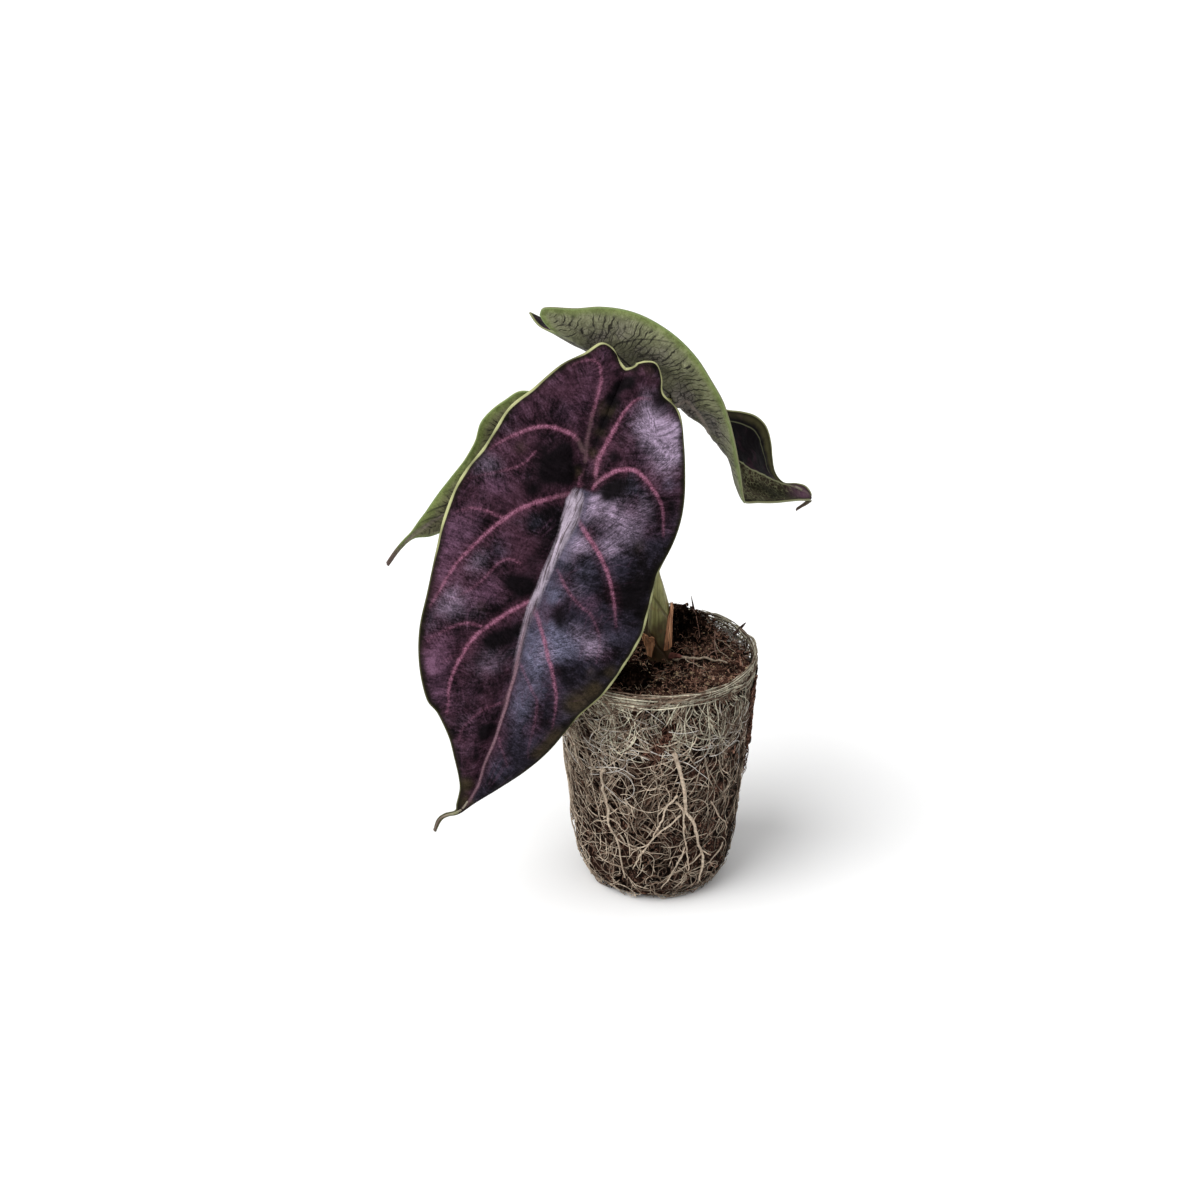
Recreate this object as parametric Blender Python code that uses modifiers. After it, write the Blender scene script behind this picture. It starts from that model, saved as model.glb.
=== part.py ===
"""A young alocasia with three hanging leaves, standing in its own root-bound plug of peat, without a pot.

The plug rests on its flat bottom at the origin, X runs to the right and Y away from the viewer, Z is up.
Lengths below are in millimetres and are scaled to metres where the shapes are made.
"""
import random
from math import atan2, cos, degrees, exp, pi, radians, sin

import bmesh
import bpy
from mathutils import Vector, noise

MM = 0.001
SMOOTH_ANGLE = 50.0

# Peat plug: radius and height down the outer side, and the hole that the stem stands in
SOIL_SIDE = [
    (28.0, 69.6), (27.3, 65.0), (26.05, 54.0), (25.05, 42.0), (24.0, 29.0), (22.75, 16.0), (21.1, 6.5),
    (18.5, 2.1),
]
SOIL_FLAT_RADIUS = 15.4
SOIL_TOP_RADII = [25.5, 22.5, 19.0, 15.5, 12.0, 8.6]
SOIL_TOP = 70.0
SOIL_STEPS = 40
SOIL_CRUMB = 1.1
# Heap of peat against the back rim: place, height and spread
HEAP_X, HEAP_Y, HEAP_HEIGHT, HEAP_SPREAD = 9.0, 22.5, 4.2, 8.0
# Splinter of bark that stands in the heap: foot, tip and radius
SPLINTER_FOOT, SPLINTER_TIP, SPLINTER_RADIUS = (12.4, 23.6, 69.5), (11.4, 24.6, 78.0), 1.0
STEM_X, STEM_Y = 2.0, 4.2
STEM_HOLE_RADIUS = 7.0
STEM_HOLE_FLOOR = 59.5

# Net of fine roots that holds the peat: centre line of the strands, radius and height
WEB_SIDE = [
    (19.4, 1.3), (22.2, 6.0), (23.95, 16.0), (26.25, 42.0), (27.05, 52.0), (28.1, 62.0), (29.25, 71.0),
]
# The plug leans a little to the right towards its foot: shift in X and height
LEAN = [(0.75, 0.0), (0.75, 42.0), (0.4, 56.0), (0.0, 71.0)]
# The rim rises most at the front left: mean rise, how much it differs round the plug, direction and start
RISE, RISE_SWING, RISE_TURN, RISE_START = 1.4, 0.8, -120.0, 58.0
WEB_TOP, WEB_BOTTOM = 70.6, 1.3
WEB_STRAND = 0.62
WEB_STRANDS = 12
WEB_STEPS = 11
WEB_RINGS = [(71.4, 0.75), (69.6, 0.7), (1.3, 0.62)]
WEB_SEED = 6
# Thick roots on the front of the plug: thickness, then angle in degrees and height of each bend
THICK_ROOTS = [
    (1.05, [(-80, 55), (-76, 49), (-73, 42), (-71, 34), (-64, 28), (-59, 21), (-55, 14), (-55, 5)]),
    (0.85, [(-124, 47), (-126, 43), (-124, 36), (-121, 27), (-116, 21), (-114, 14), (-113, 7)]),
    (0.7, [(-76, 40), (-85, 35), (-89, 28), (-96, 23), (-108, 20)]),
    (0.7, [(-77, 39), (-73, 33), (-71, 25), (-67, 15), (-66, 8)]),
    (0.7, [(-72, 34), (-90, 26), (-100, 19), (-107, 12)]),
    (0.7, [(-68, 23), (-77, 13), (-87, 5)]),
]

# Leaves: thickness, cells along and across, and how deep the veins lie in the face
BLADE = 0.7
ROWS, COLUMNS = 30, 14
VEIN_DEPTH, VEIN_WIDTH = 0.9, 4.2
BLADE_LENGTH, BLADE_HALF = 140.0, 32.0
# Veins of the left half: place along the blade from 0 at the lobes to 1 at the tip, and across from 0 to 1
LEFT_VEINS = [
    [(0.28, 0.04), (0.19, 0.17), (0.11, 0.42), (0.11, 0.73)],
    [(0.23, 0.2), (0.23, 0.42), (0.25, 0.72), (0.28, 0.9)],
    [(0.31, 0.05), (0.34, 0.34), (0.39, 0.61), (0.46, 0.92)],
    [(0.48, 0.05), (0.51, 0.4), (0.56, 0.66), (0.62, 0.8)],
]
RIGHT_VEINS = [
    [(0.28, 0.05), (0.2, 0.2), (0.15, 0.54)],
    [(0.27, 0.15), (0.27, 0.41), (0.29, 0.64), (0.38, 0.88)],
    [(0.33, 0.05), (0.4, 0.31), (0.45, 0.51), (0.51, 0.72)],
    [(0.46, 0.12), (0.5, 0.42), (0.55, 0.65)],
    [(0.52, 0.04), (0.57, 0.27), (0.66, 0.6)],
]

# Front leaf: where its stalk joins, both edges and the midrib from the lobes to the drip tip,
# how far each half bulges to its upper side, and the height of the waves at the edge
FRONT_JOINT = (-20.8, -16.0, 132.4)
FRONT_CUPS, FRONT_RIPPLE = (2.2, 3.4), 1.0
FRONT_LEFT = [
    (10, 18, 30.5), (8.5, 18.6, 32.8), (5.5, 18.5, 34.2), (1.1, 16.7, 32), (-5.5, 14, 29.6), (-13, 11, 24.1),
    (-19.5, 7.5, 19.8), (-25.3, 3.5, 11.2), (-32.4, -0.5, 2.6), (-36.8, -3.6, -7.1), (-39.2, -6.5, -16.4),
    (-41.6, -10.1, -26.8), (-43.9, -13.5, -36.5), (-44.1, -16.3, -46.2), (-42.3, -18.5, -55.5),
    (-39.3, -19.7, -59.7), (-36.4, -20.5, -67), (-35, -21.4, -73.1), (-33.8, -22, -79),
    (-33.6, -22.3, -82.5), (-34.6, -22.3, -87.2), (-35.1, -22.2, -89.5), (-38.2, -22, -90.7),
    (-40.3, -21.8, -92.7), (-41.4, -21.5, -96.4),
]
FRONT_MIDDLE = [
    (12.5, 16, 28), (11.7, 15.4, 25.8), (10.5, 14.5, 23), (8.4, 12.4, 18.6), (6, 10, 13.5), (4, 8.4, 8.1),
    (2, 6.5, 2.5), (-0.4, 3.2, -2.8), (-3, -0.5, -8), (-5.5, -3.6, -13.3), (-8, -6.5, -19),
    (-10.2, -9.1, -25.5), (-12.5, -11.5, -32.5), (-15, -13.6, -39.8), (-17.5, -15.5, -47),
    (-19.7, -17.3, -53.5), (-22, -19, -60), (-24.7, -20.4, -67.1), (-27.5, -21.5, -74),
    (-29.6, -22.2, -81.5), (-32, -22.6, -87), (-34.6, -22.4, -90), (-37.7, -22, -91.2),
    (-39.8, -21.7, -92.9), (-41.2, -21.5, -96.7),
]
FRONT_RIGHT = [
    (15.1, 18, 28.5), (17.8, 18.8, 28.8), (20.9, 19, 27.9), (22.4, 18, 24.4), (22.9, 16, 20.3),
    (27.1, 13, 16), (28.3, 9.5, 8), (28.6, 6.2, 1.6), (28.4, 3, -5), (27.4, 0.4, -10.8), (25.3, -2, -16.6),
    (21.5, -4.7, -24.2), (19.3, -7.5, -32.5), (16.6, -10.3, -41.2), (10.5, -13, -50.8), (5.8, -15.1, -56.4),
    (-0.9, -17, -62.2), (-8.8, -19.2, -71.8), (-15.8, -21, -78), (-22.9, -21.8, -82.9), (-29.5, -22, -87.2),
    (-34, -22.1, -90.6), (-37.3, -22, -91.6), (-39.2, -21.8, -93.2), (-40.9, -21.5, -97),
]
# Back leaf: it shows its underside and twists over before the tip
BACK_JOINT = (4.8, 15.5, 145.6)
BACK_CUPS, BACK_RIPPLE = (-1.4, -1.3), 0.9
BACK_LEFT = [
    (-36.2, -9.5, 28.5), (-35.7, -10.7, 30.6), (-33.8, -11.5, 31.2), (-26.7, -11.2, 30.2),
    (-20.1, -10.5, 30), (-12.9, -9.6, 28.6), (-6.2, -8.5, 25.7), (0.6, -7.4, 20.9), (6.4, -6.5, 14.7),
    (10.6, -6.3, 8.2), (13.9, -6.5, 2), (15.5, -7.2, -3.7), (16.7, -7.5, -10), (18.1, -6.6, -18),
    (20.2, -4.5, -29.7), (21.8, -0.9, -32.4), (26.1, 3.5, -34), (30, 8.4, -36.1), (34.1, 13.5, -38.4),
    (37.6, 18.8, -41), (40.4, 23.5, -43.3), (42.3, 27.1, -44.8), (42.9, 29, -46.1), (41.1, 28, -47),
    (38.3, 26, -47.8),
]
BACK_MIDDLE = [
    (-31.6, -4.5, 21), (-22.8, -3.5, 14.7), (-12, -2.5, 7.5), (-1.5, -0.5, 1), (5, 2.5, -5),
    (10.5, 5.5, -11.5), (14.5, 9.5, -18), (20, 14.5, -25), (26, 19.5, -32), (32.5, 24.5, -37.5),
    (38.5, 28.5, -41), (43.1, 30, -45.2), (38.5, 27, -47.8),
]
BACK_RIGHT = [
    (-40.4, 12.5, 19.6), (-38.6, 14.5, 18.6), (-35.5, 16.5, 17.1), (-29.1, 18.6, 13.9), (-21.5, 20.5, 10),
    (-14.9, 22.1, 5.8), (-8.5, 23.5, 1.5), (-2, 24.6, -2.9), (4, 25.5, -7), (8.7, 26.4, -10.3),
    (12.5, 27.5, -13), (15.5, 28.9, -15), (18.2, 30.5, -16.8), (21.8, 32.1, -18.2), (25.4, 33.5, -20.3),
    (28.3, 34.2, -23.9), (30.1, 34.5, -29.3), (31.2, 34.7, -34.5), (32.6, 34.5, -38.8), (35.1, 33.6, -41.4),
    (38.8, 32.5, -41.5), (41.6, 31.8, -42.3), (43.1, 31, -44.7), (41.5, 29.6, -46.3), (38.8, 28, -47.8),
]
# Left leaf: the smallest, hanging behind the front one
LEFT_JOINT = (-30.9, 14.0, 134.6)
LEFT_CUPS, LEFT_RIPPLE = (-1.5, -1.5), 0.8
LEFT_LEFT = [
    (12, 3, 7), (12.5, 4.5, 3), (8, 9, -2), (3, 13, -6), (-4, 13.5, -12), (-11.5, 11, -18.5),
    (-18.5, 8, -25), (-26, 4, -29), (-33, 0.5, -31.5), (-38, -2, -31.5), (-41.8, -3, -34.5),
    (-45.4, -4.5, -39),
]
LEFT_MIDDLE = [
    (9, 1, 7.5), (6, 0.5, 5), (3, 0.3, 2.5), (-1, 0, -1), (-8, -0.5, -6.5), (-15.5, -1, -12),
    (-22.5, -1.5, -17.5), (-29, -2, -22.5), (-35, -2.5, -27), (-38.5, -2.8, -30), (-42, -3.5, -33.8),
    (-45.7, -5, -38.6),
]
LEFT_RIGHT = [
    (11, -0.7, 14.8), (8.4, -2.2, 16.1), (5.5, -3.7, 17), (1.6, -4.9, 16.9), (-2.5, -6, 16),
    (-6.8, -6.9, 15.9), (-10.5, -7.5, 13.3), (-14.4, -7.6, 10.2), (-17.7, -7.3, 6.4), (-19.5, -6.8, 1.2),
    (-22.6, -6.2, -4.3), (-25.1, -5.6, -8.2), (-27.8, -5, -12.5), (-29.9, -4.5, -15.9), (-32, -4, -19.3),
    (-34.2, -3.7, -22.5), (-36.2, -3.5, -25.2), (-37.6, -3.4, -27.3), (-38.8, -3.4, -29),
    (-40.5, -3.6, -30.8), (-42.2, -4, -32.7), (-44, -4.7, -35), (-45.8, -5.5, -37.6),
]

# Stalks: radius and place of each bend, from the stem base up to the underside of a leaf
FRONT_STALK = [
    (3.6, (2.4, 3.2, 60)), (4.1, (2.4, 3.0, 69)), (3.7, (2.0, 2.6, 78)), (3.0, (1.3, 2.2, 86)),
    (2.0, (0.0, 2.0, 95)), (1.9, (-3.0, 2.2, 106)), (1.8, (-8.0, 1.8, 117)), (1.7, (-13.0, -0.8, 124.5)),
    (1.6, (-17.8, -5.4, 128.2)), (1.5, (-20.9, -9.9, 129.9)),
]
BACK_STALK = [
    (2.8, (2.6, 5.2, 62)), (2.7, (2.3, 5.6, 72)), (2.3, (1.2, 6.2, 82)), (1.8, (-0.6, 7.2, 94)),
    (1.7, (-0.8, 8.5, 108)), (1.6, (0.6, 10.0, 124)), (1.5, (2.3, 11.8, 137)), (1.4, (3.9, 14.3, 144.5)),
]
LEFT_STALK = [
    (2.4, (0.6, 5.0, 62)), (2.4, (0.2, 5.8, 72)), (2.0, (-1.8, 7.4, 84)), (1.7, (-5.8, 9.0, 98)),
    (1.6, (-12.0, 9.8, 110)), (1.5, (-20.0, 10.0, 121)), (1.4, (-27.0, 10.8, 130)),
    (1.3, (-30.0, 12.7, 133.6)),
]

# Dry scales round the stem base: direction in degrees, height, half width in degrees and lean outward
SCALES = {"dry_scale_left": (-140, 9.0, 26, 1.6), "dry_scale_right": (-22, 14.0, 20, 0.3)}
SCALE_RADIUS = 4.9
SCALE_FOOT = (2.4, 3.0, 68.0)
SCALE_THICKNESS = 0.7

# Roots that lie on top of the peat: thickness and the places they pass
SURFACE_ROOTS = [
    (0.6, [(9.6, 1.2), (13.5, 0.2), (17.0, -1.0), (21.2, -3.4)]),
    (0.5, [(18.4, 14.0), (18.0, 8.0), (18.6, 2.5), (17.0, -1.2)]),
    (0.5, [(12.2, 19.5), (13.6, 13.0), (13.0, 6.0), (13.6, 0.2)]),
]

# Torn strip of peat that hangs off the right of the plug
FLAP_TURN, FLAP_HALF_TURN = -4.0, 10.0
FLAP_TOP, FLAP_BOTTOM = 66.0, 44.0
FLAP_THICKNESS = 0.9
FLAP_LIFT, FLAP_RUFFLE = 1.75, 0.25


def clear_scene():
    for old in list(bpy.data.objects):
        bpy.data.objects.remove(old, do_unlink=True)


def new_collection(name):
    group = bpy.data.collections.new(name)
    bpy.context.scene.collection.children.link(group)
    return group


def material(name, colour, roughness):
    made = bpy.data.materials.new(name)
    made.use_nodes = True
    shader = made.node_tree.nodes["Principled BSDF"]
    shader.inputs["Base Color"].default_value = (*colour, 1.0)
    shader.inputs["Roughness"].default_value = roughness
    shader.inputs["Metallic"].default_value = 0.0
    return made


def placed(obj, group, place=(0.0, 0.0, 0.0)):
    for holder in list(obj.users_collection):
        holder.objects.unlink(obj)
    group.objects.link(obj)
    obj.location = Vector(place) * MM
    return obj


def along(points, share):
    """Point at a share from 0 to 1 of a smooth line through the given points."""
    last = len(points) - 1
    x = min(max(share, 0.0), 1.0) * last
    i = min(int(x), last - 1)
    f = x - i
    b, c = Vector(points[i]), Vector(points[i + 1])
    a = Vector(points[i - 1]) if i > 0 else 2 * b - c
    d = Vector(points[i + 2]) if i + 2 <= last else 2 * c - b
    curve = (2 * a - 5 * b + 4 * c - d) * f * f + (3 * b - a - 3 * c + d) * f ** 3
    return 0.5 * (2 * b + (c - a) * f + curve)


def between(pairs, height):
    """Radius at a height, from pairs of radius and height."""
    ordered = sorted(pairs, key=lambda pair: pair[1])
    if height <= ordered[0][1]:
        return ordered[0][0]
    for (r0, z0), (r1, z1) in zip(ordered, ordered[1:]):
        if height <= z1:
            return r0 + (r1 - r0) * (height - z0) / (z1 - z0)
    return ordered[-1][0]


def soil_height(x, y):
    """Height of the crumbly top of the peat, heaped up at the back."""
    crumbs = noise.noise(Vector((x, y, 3.0)) * 0.22) + 0.5 * noise.noise(Vector((x, y, 8.0)) * 0.55)
    from_heap = ((x - HEAP_X) ** 2 + (y - HEAP_Y) ** 2) / HEAP_SPREAD ** 2
    return SOIL_TOP + SOIL_CRUMB * crumbs + HEAP_HEIGHT * exp(-from_heap)


def finished_mesh(obj):
    """Mesh of an object with its modifiers worked in."""
    bpy.context.view_layer.update()
    seen = obj.evaluated_get(bpy.context.evaluated_depsgraph_get())
    return bpy.data.meshes.new_from_object(seen)


def welded(mesh):
    """The same mesh with loose seams joined and its faces turned outward."""
    work = bmesh.new()
    work.from_mesh(mesh)
    bmesh.ops.remove_doubles(work, verts=work.verts, dist=0.00001)
    bmesh.ops.recalc_face_normals(work, faces=work.faces)
    work.to_mesh(mesh)
    work.free()
    return mesh


def tube(name, group, steps, bevel_resolution=1):
    """Round tube along straight steps, each a radius and a place."""
    curve = bpy.data.curves.new(name, "CURVE")
    curve.dimensions = "3D"
    curve.bevel_depth = MM
    curve.bevel_resolution = bevel_resolution
    curve.use_fill_caps = True
    spline = curve.splines.new("POLY")
    spline.points.add(len(steps) - 1)
    for point, (radius, place) in zip(spline.points, steps):
        point.co = (*(Vector(place) * MM), 1.0)
        point.radius = radius
    line = placed(bpy.data.objects.new(name, curve), group)
    mesh = welded(finished_mesh(line))
    bpy.data.objects.remove(line, do_unlink=True)
    bpy.data.curves.remove(curve)
    return placed(bpy.data.objects.new(name, mesh), group)


def fused(name, group, pieces):
    """One body made of overlapping pieces."""
    helpers = new_collection(name + "_pieces")
    for piece in pieces[1:]:
        placed(piece, helpers)
    base = pieces[0]
    join = base.modifiers.new("join", "BOOLEAN")
    join.operand_type = "COLLECTION"
    join.collection = helpers
    join.operation = "UNION"
    join.solver = "EXACT"
    mesh = finished_mesh(base)
    for piece in list(pieces):
        bpy.data.objects.remove(piece, do_unlink=True)
    bpy.data.collections.remove(helpers)
    return placed(bpy.data.objects.new(name, welded(mesh)), group)


def vein_distance(across, share, veins):
    """Distance in millimetres from a place on the blade to the nearest vein."""
    here = Vector((share * BLADE_LENGTH, across * BLADE_HALF))
    nearest = BLADE_LENGTH
    for vein in veins:
        marks = [Vector((s * BLADE_LENGTH, t * BLADE_HALF)) for s, t in vein]
        for start, end in zip(marks, marks[1:]):
            step = end - start
            share_on = min(max((here - start).dot(step) / step.length_squared, 0.0), 1.0)
            nearest = min(nearest, (here - start - share_on * step).length)
    return nearest


def blade_point(edges, cups, ripple, share, turn):
    """Place on a leaf blade; turn runs from -1 on the left edge over the midrib to 1 on the right edge."""
    left, middle, right = edges
    on_left = turn < 0
    spine = along(middle, share)
    out = along(left if on_left else right, share) - spine
    ahead = along(middle, share + 0.02) - along(middle, share - 0.02)
    upward = out.cross(ahead) if on_left else ahead.cross(out)
    upward.normalize()
    across = abs(turn)
    fade = min(1.0, out.length / 12.0)
    cup = cups[0] if on_left else cups[1]
    rise = cup * 4.0 * across * (1.0 - across)
    rise += ripple * across ** 3 * sin(2.0 * pi * (3.0 * share + 0.35 * turn))
    veins = LEFT_VEINS if on_left else RIGHT_VEINS
    rise -= VEIN_DEPTH * exp(-(vein_distance(across, share, veins) / VEIN_WIDTH) ** 2)
    return spine + out * across + upward * rise * fade


def leaf(name, group, joint, edges, cups, ripple):
    """Waved blade around the place where its stalk joins."""
    bpy.ops.mesh.primitive_grid_add(x_subdivisions=COLUMNS, y_subdivisions=ROWS, size=2.0)
    blade = bpy.context.object
    blade.name = name
    blade.data.name = name
    for vertex in blade.data.vertices:
        share = 0.5 * (1.0 - vertex.co.y)
        vertex.co = blade_point(edges, cups, ripple, share, vertex.co.x) * MM
    placed(blade, group, joint)
    split = blade.modifiers.new("split", "TRIANGULATE")
    split.quad_method = "SHORTEST_DIAGONAL"
    thick = blade.modifiers.new("thickness", "SOLIDIFY")
    thick.thickness = BLADE * MM
    thick.offset = 0.0
    return blade


def soil_plug(group, cutters):
    """Tapered plug of peat with a crumbly top and a hole for the stem."""
    profile = [(0.0, SOIL_TOP)] + [(r, SOIL_TOP) for r in reversed(SOIL_TOP_RADII)] + SOIL_SIDE
    profile += [(SOIL_FLAT_RADIUS, 0.0), (SOIL_FLAT_RADIUS * 0.5, 0.0), (0.0, 0.0)]
    mesh = bpy.data.meshes.new("soil_profile")
    points = [(r * MM, 0.0, z * MM) for r, z in profile]
    mesh.from_pydata(points, [(i, i + 1) for i in range(len(points) - 1)], [])
    outline = placed(bpy.data.objects.new("soil_profile", mesh), group)
    spin = outline.modifiers.new("spin", "SCREW")
    spin.steps = SOIL_STEPS
    spin.render_steps = SOIL_STEPS
    spin.use_merge_vertices = True
    spin.merge_threshold = 0.0001
    body = welded(finished_mesh(outline))
    bpy.data.objects.remove(outline, do_unlink=True)
    for vertex in body.vertices:
        x, y, z = vertex.co / MM
        if z > SOIL_TOP - 0.2:
            vertex.co.z = soil_height(x, y) * MM
        elif z > 1.0:
            dent = 0.5 + 0.5 * noise.noise(Vector((x, y, z)) * 0.18)
            vertex.co.x *= 1.0 - 0.022 * dent
            vertex.co.y *= 1.0 - 0.022 * dent
        vertex.co.x += between(LEAN, z) * MM
    peat = placed(bpy.data.objects.new("soil_plug", body), group)
    bark = tube("splinter", group, [(SPLINTER_RADIUS, SPLINTER_FOOT), (0.4 * SPLINTER_RADIUS, SPLINTER_TIP)])
    soil = fused("soil_plug", group, [peat, bark])
    depth = SOIL_TOP + 10.0 - STEM_HOLE_FLOOR
    bpy.ops.mesh.primitive_cylinder_add(vertices=24, radius=STEM_HOLE_RADIUS * MM, depth=depth * MM)
    cutter = bpy.context.object
    cutter.name = "stem_hole_cutter"
    cutter.display_type = "WIRE"
    cutter.hide_render = True
    placed(cutter, cutters, (STEM_X, STEM_Y, STEM_HOLE_FLOOR + depth / 2))
    bore = soil.modifiers.new("stem_hole", "BOOLEAN")
    bore.operation = "DIFFERENCE"
    bore.object = cutter
    bore.solver = "EXACT"
    return soil


def raised(turn, height):
    """Height in the net once its rim has been lifted."""
    near_rim = min(max((height - RISE_START) / (71.0 - RISE_START), 0.0), 1.0)
    return height + near_rim * (RISE + RISE_SWING * cos(radians(turn - RISE_TURN)))


def on_plug(turn, height, lift):
    """Place on the side of the plug at a direction in degrees, lifted clear of the net's centre line."""
    radius = between(WEB_SIDE, height) + lift
    x = radius * cos(radians(turn)) + between(LEAN, height)
    return (x, radius * sin(radians(turn)), raised(turn, height))


def root_web(group):
    """Net of roots that circle the rim and run down the plug both ways, with thick roots at the front."""
    chance = random.Random(WEB_SEED)
    pieces = []
    for height, thick in WEB_RINGS:
        radius = between(WEB_SIDE, height) * MM
        bpy.ops.mesh.primitive_torus_add(
            major_segments=40, minor_segments=4, major_radius=radius, minor_radius=thick * MM,
            location=(0.0, 0.0, height * MM))
        ring = bpy.context.object
        ring.data.transform(ring.matrix_world)
        ring.matrix_world.identity()
        for vertex in ring.data.vertices:
            turn = degrees(atan2(vertex.co.y, vertex.co.x))
            vertex.co.x += between(LEAN, height) * MM
            vertex.co.z += (raised(turn, height) - height) * MM
        pieces.append(placed(ring, group))
    for lean in (-1, 1):
        for i in range(WEB_STRANDS):
            start = 360.0 * (i + 0.25 * lean) / WEB_STRANDS + chance.uniform(-5.0, 5.0)
            sweep = lean * chance.uniform(26.0, 52.0)
            sway = chance.uniform(2.0, 5.0)
            phase = chance.uniform(0.0, 2.0 * pi)
            steps = []
            for k in range(WEB_STEPS + 1):
                down = k / WEB_STEPS
                height = WEB_TOP + (WEB_BOTTOM - WEB_TOP) * down
                turn = start + sweep * down + sway * sin(2.0 * pi * 1.7 * down + phase)
                steps.append((WEB_STRAND, on_plug(turn, height, 0.0)))
            pieces.append(tube("strand", group, steps, 0))
    for thick, bends in THICK_ROOTS:
        count = 2 * len(bends)
        line = [along([(turn, height, 0.0) for turn, height in bends], k / count) for k in range(count + 1)]
        steps = [(thick * (1.0 - 0.45 * k / count), on_plug(p.x, p.y, 0.5)) for k, p in enumerate(line)]
        pieces.append(tube("thick_root", group, steps, 1))
    return fused("root_web", group, pieces)


def stalks(group):
    """The stem base with the three leaf stalks that grow from it."""
    pieces = []
    for bends in (FRONT_STALK, BACK_STALK, LEFT_STALK):
        rows = [(radius, 0.0, 0.0) for radius, place in bends]
        count = 18
        steps = []
        for k in range(count + 1):
            radius = along(rows, k / count).x
            steps.append((radius, along([place for r, place in bends], k / count)))
        pieces.append(tube("stalk", group, steps, 2))
    return fused("stalks", group, pieces)


def dry_scale(name, group, turn, tall, half_turn, lean):
    """Papery scale that half wraps the stem base and ends in a point."""
    bpy.ops.mesh.primitive_grid_add(x_subdivisions=6, y_subdivisions=6, size=2.0)
    scale = bpy.context.object
    scale.name = name
    scale.data.name = name
    for vertex in scale.data.vertices:
        up = 0.5 * (1.0 + vertex.co.y)
        angle = radians(turn + half_turn * vertex.co.x * (1.0 - 0.75 * up ** 2))
        radius = SCALE_RADIUS + lean * up ** 2 + 0.3 * abs(vertex.co.x)
        vertex.co = Vector((radius * cos(angle), radius * sin(angle), tall * up)) * MM
    placed(scale, group, SCALE_FOOT)
    split = scale.modifiers.new("split", "TRIANGULATE")
    split.quad_method = "SHORTEST_DIAGONAL"
    thick = scale.modifiers.new("thickness", "SOLIDIFY")
    thick.thickness = SCALE_THICKNESS * MM
    thick.offset = 0.0
    return scale


def surface_roots(group):
    """Few pale roots that cross each other on top of the peat."""
    pieces = []
    for thick, places in SURFACE_ROOTS:
        count = 8
        steps = []
        for k in range(count + 1):
            x, y, z = along([(x, y, 0.0) for x, y in places], k / count)
            steps.append((thick, (x, y, soil_height(x, y) + 1.35)))
        pieces.append(tube("surface_root", group, steps, 1))
    return fused("surface_roots", group, pieces)


def peat_flap(group):
    """Torn strip of peat and roots that stands off the right side of the plug."""
    bpy.ops.mesh.primitive_grid_add(x_subdivisions=6, y_subdivisions=10, size=2.0)
    flap = bpy.context.object
    flap.name = "peat_flap"
    flap.data.name = "peat_flap"
    for vertex in flap.data.vertices:
        across, up = vertex.co.x, 0.5 * (1.0 + vertex.co.y)
        height = FLAP_BOTTOM + (FLAP_TOP - FLAP_BOTTOM) * up + 1.2 * sin(9.0 * across)
        turn = FLAP_TURN + FLAP_HALF_TURN * (across * (0.6 + 0.4 * up) + 0.35 * sin(5.0 * up))
        ruffle = FLAP_RUFFLE * sin(11.0 * up + 3.0 * across)
        vertex.co = Vector(on_plug(turn, height, FLAP_LIFT + ruffle)) * MM
    placed(flap, group)
    split = flap.modifiers.new("split", "TRIANGULATE")
    split.quad_method = "SHORTEST_DIAGONAL"
    thick = flap.modifiers.new("thickness", "SOLIDIFY")
    thick.thickness = FLAP_THICKNESS * MM
    thick.offset = 0.0
    return flap


def main():
    clear_scene()
    plant = new_collection("alocasia_plug_plant")
    cutters = new_collection("cutters")
    peat = material("dark_peat", (0.045, 0.026, 0.018), 0.95)
    fine_root = material("pale_roots", (0.42, 0.35, 0.25), 0.8)
    tan_root = material("tan_surface_roots", (0.5, 0.33, 0.18), 0.7)
    stalk = material("green_stalk", (0.16, 0.19, 0.06), 0.5)
    dark_blade = material("dark_purple_blade", (0.035, 0.018, 0.035), 0.35)
    green_blade = material("olive_blade_underside", (0.13, 0.14, 0.07), 0.5)
    papery = material("papery_brown_scale", (0.28, 0.12, 0.05), 0.75)

    front_edges = (FRONT_LEFT, FRONT_MIDDLE, FRONT_RIGHT)
    back_edges = (BACK_LEFT, BACK_MIDDLE, BACK_RIGHT)
    left_edges = (LEFT_LEFT, LEFT_MIDDLE, LEFT_RIGHT)
    made = {
        soil_plug(plant, cutters): peat,
        root_web(plant): fine_root,
        stalks(plant): stalk,
        leaf("leaf_front", plant, FRONT_JOINT, front_edges, FRONT_CUPS, FRONT_RIPPLE): dark_blade,
        leaf("leaf_back", plant, BACK_JOINT, back_edges, BACK_CUPS, BACK_RIPPLE): green_blade,
        leaf("leaf_left", plant, LEFT_JOINT, left_edges, LEFT_CUPS, LEFT_RIPPLE): green_blade,
        surface_roots(plant): tan_root,
        peat_flap(plant): peat,
    }
    for name, (turn, tall, half_turn, lean) in SCALES.items():
        made[dry_scale(name, plant, turn, tall, half_turn, lean)] = papery
    for obj, skin in made.items():
        obj.data.materials.clear()
        obj.data.materials.append(skin)
        obj.data.shade_smooth()
        obj.data.set_sharp_from_angle(angle=radians(SMOOTH_ANGLE))


main()
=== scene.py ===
"""Looks of a young alocasia that stands in its bare plug of peat and roots.

Lengths in the tables below are in millimetres, and finished meshes are in metres.
"""

import random
from functools import wraps
from math import atan2, ceil, cos, degrees, exp, hypot, pi, radians, sin

import bmesh
import bpy
import numpy as np
from bpy.props import FloatProperty, FloatVectorProperty, IntProperty, PointerProperty
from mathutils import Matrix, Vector, kdtree, noise


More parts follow.
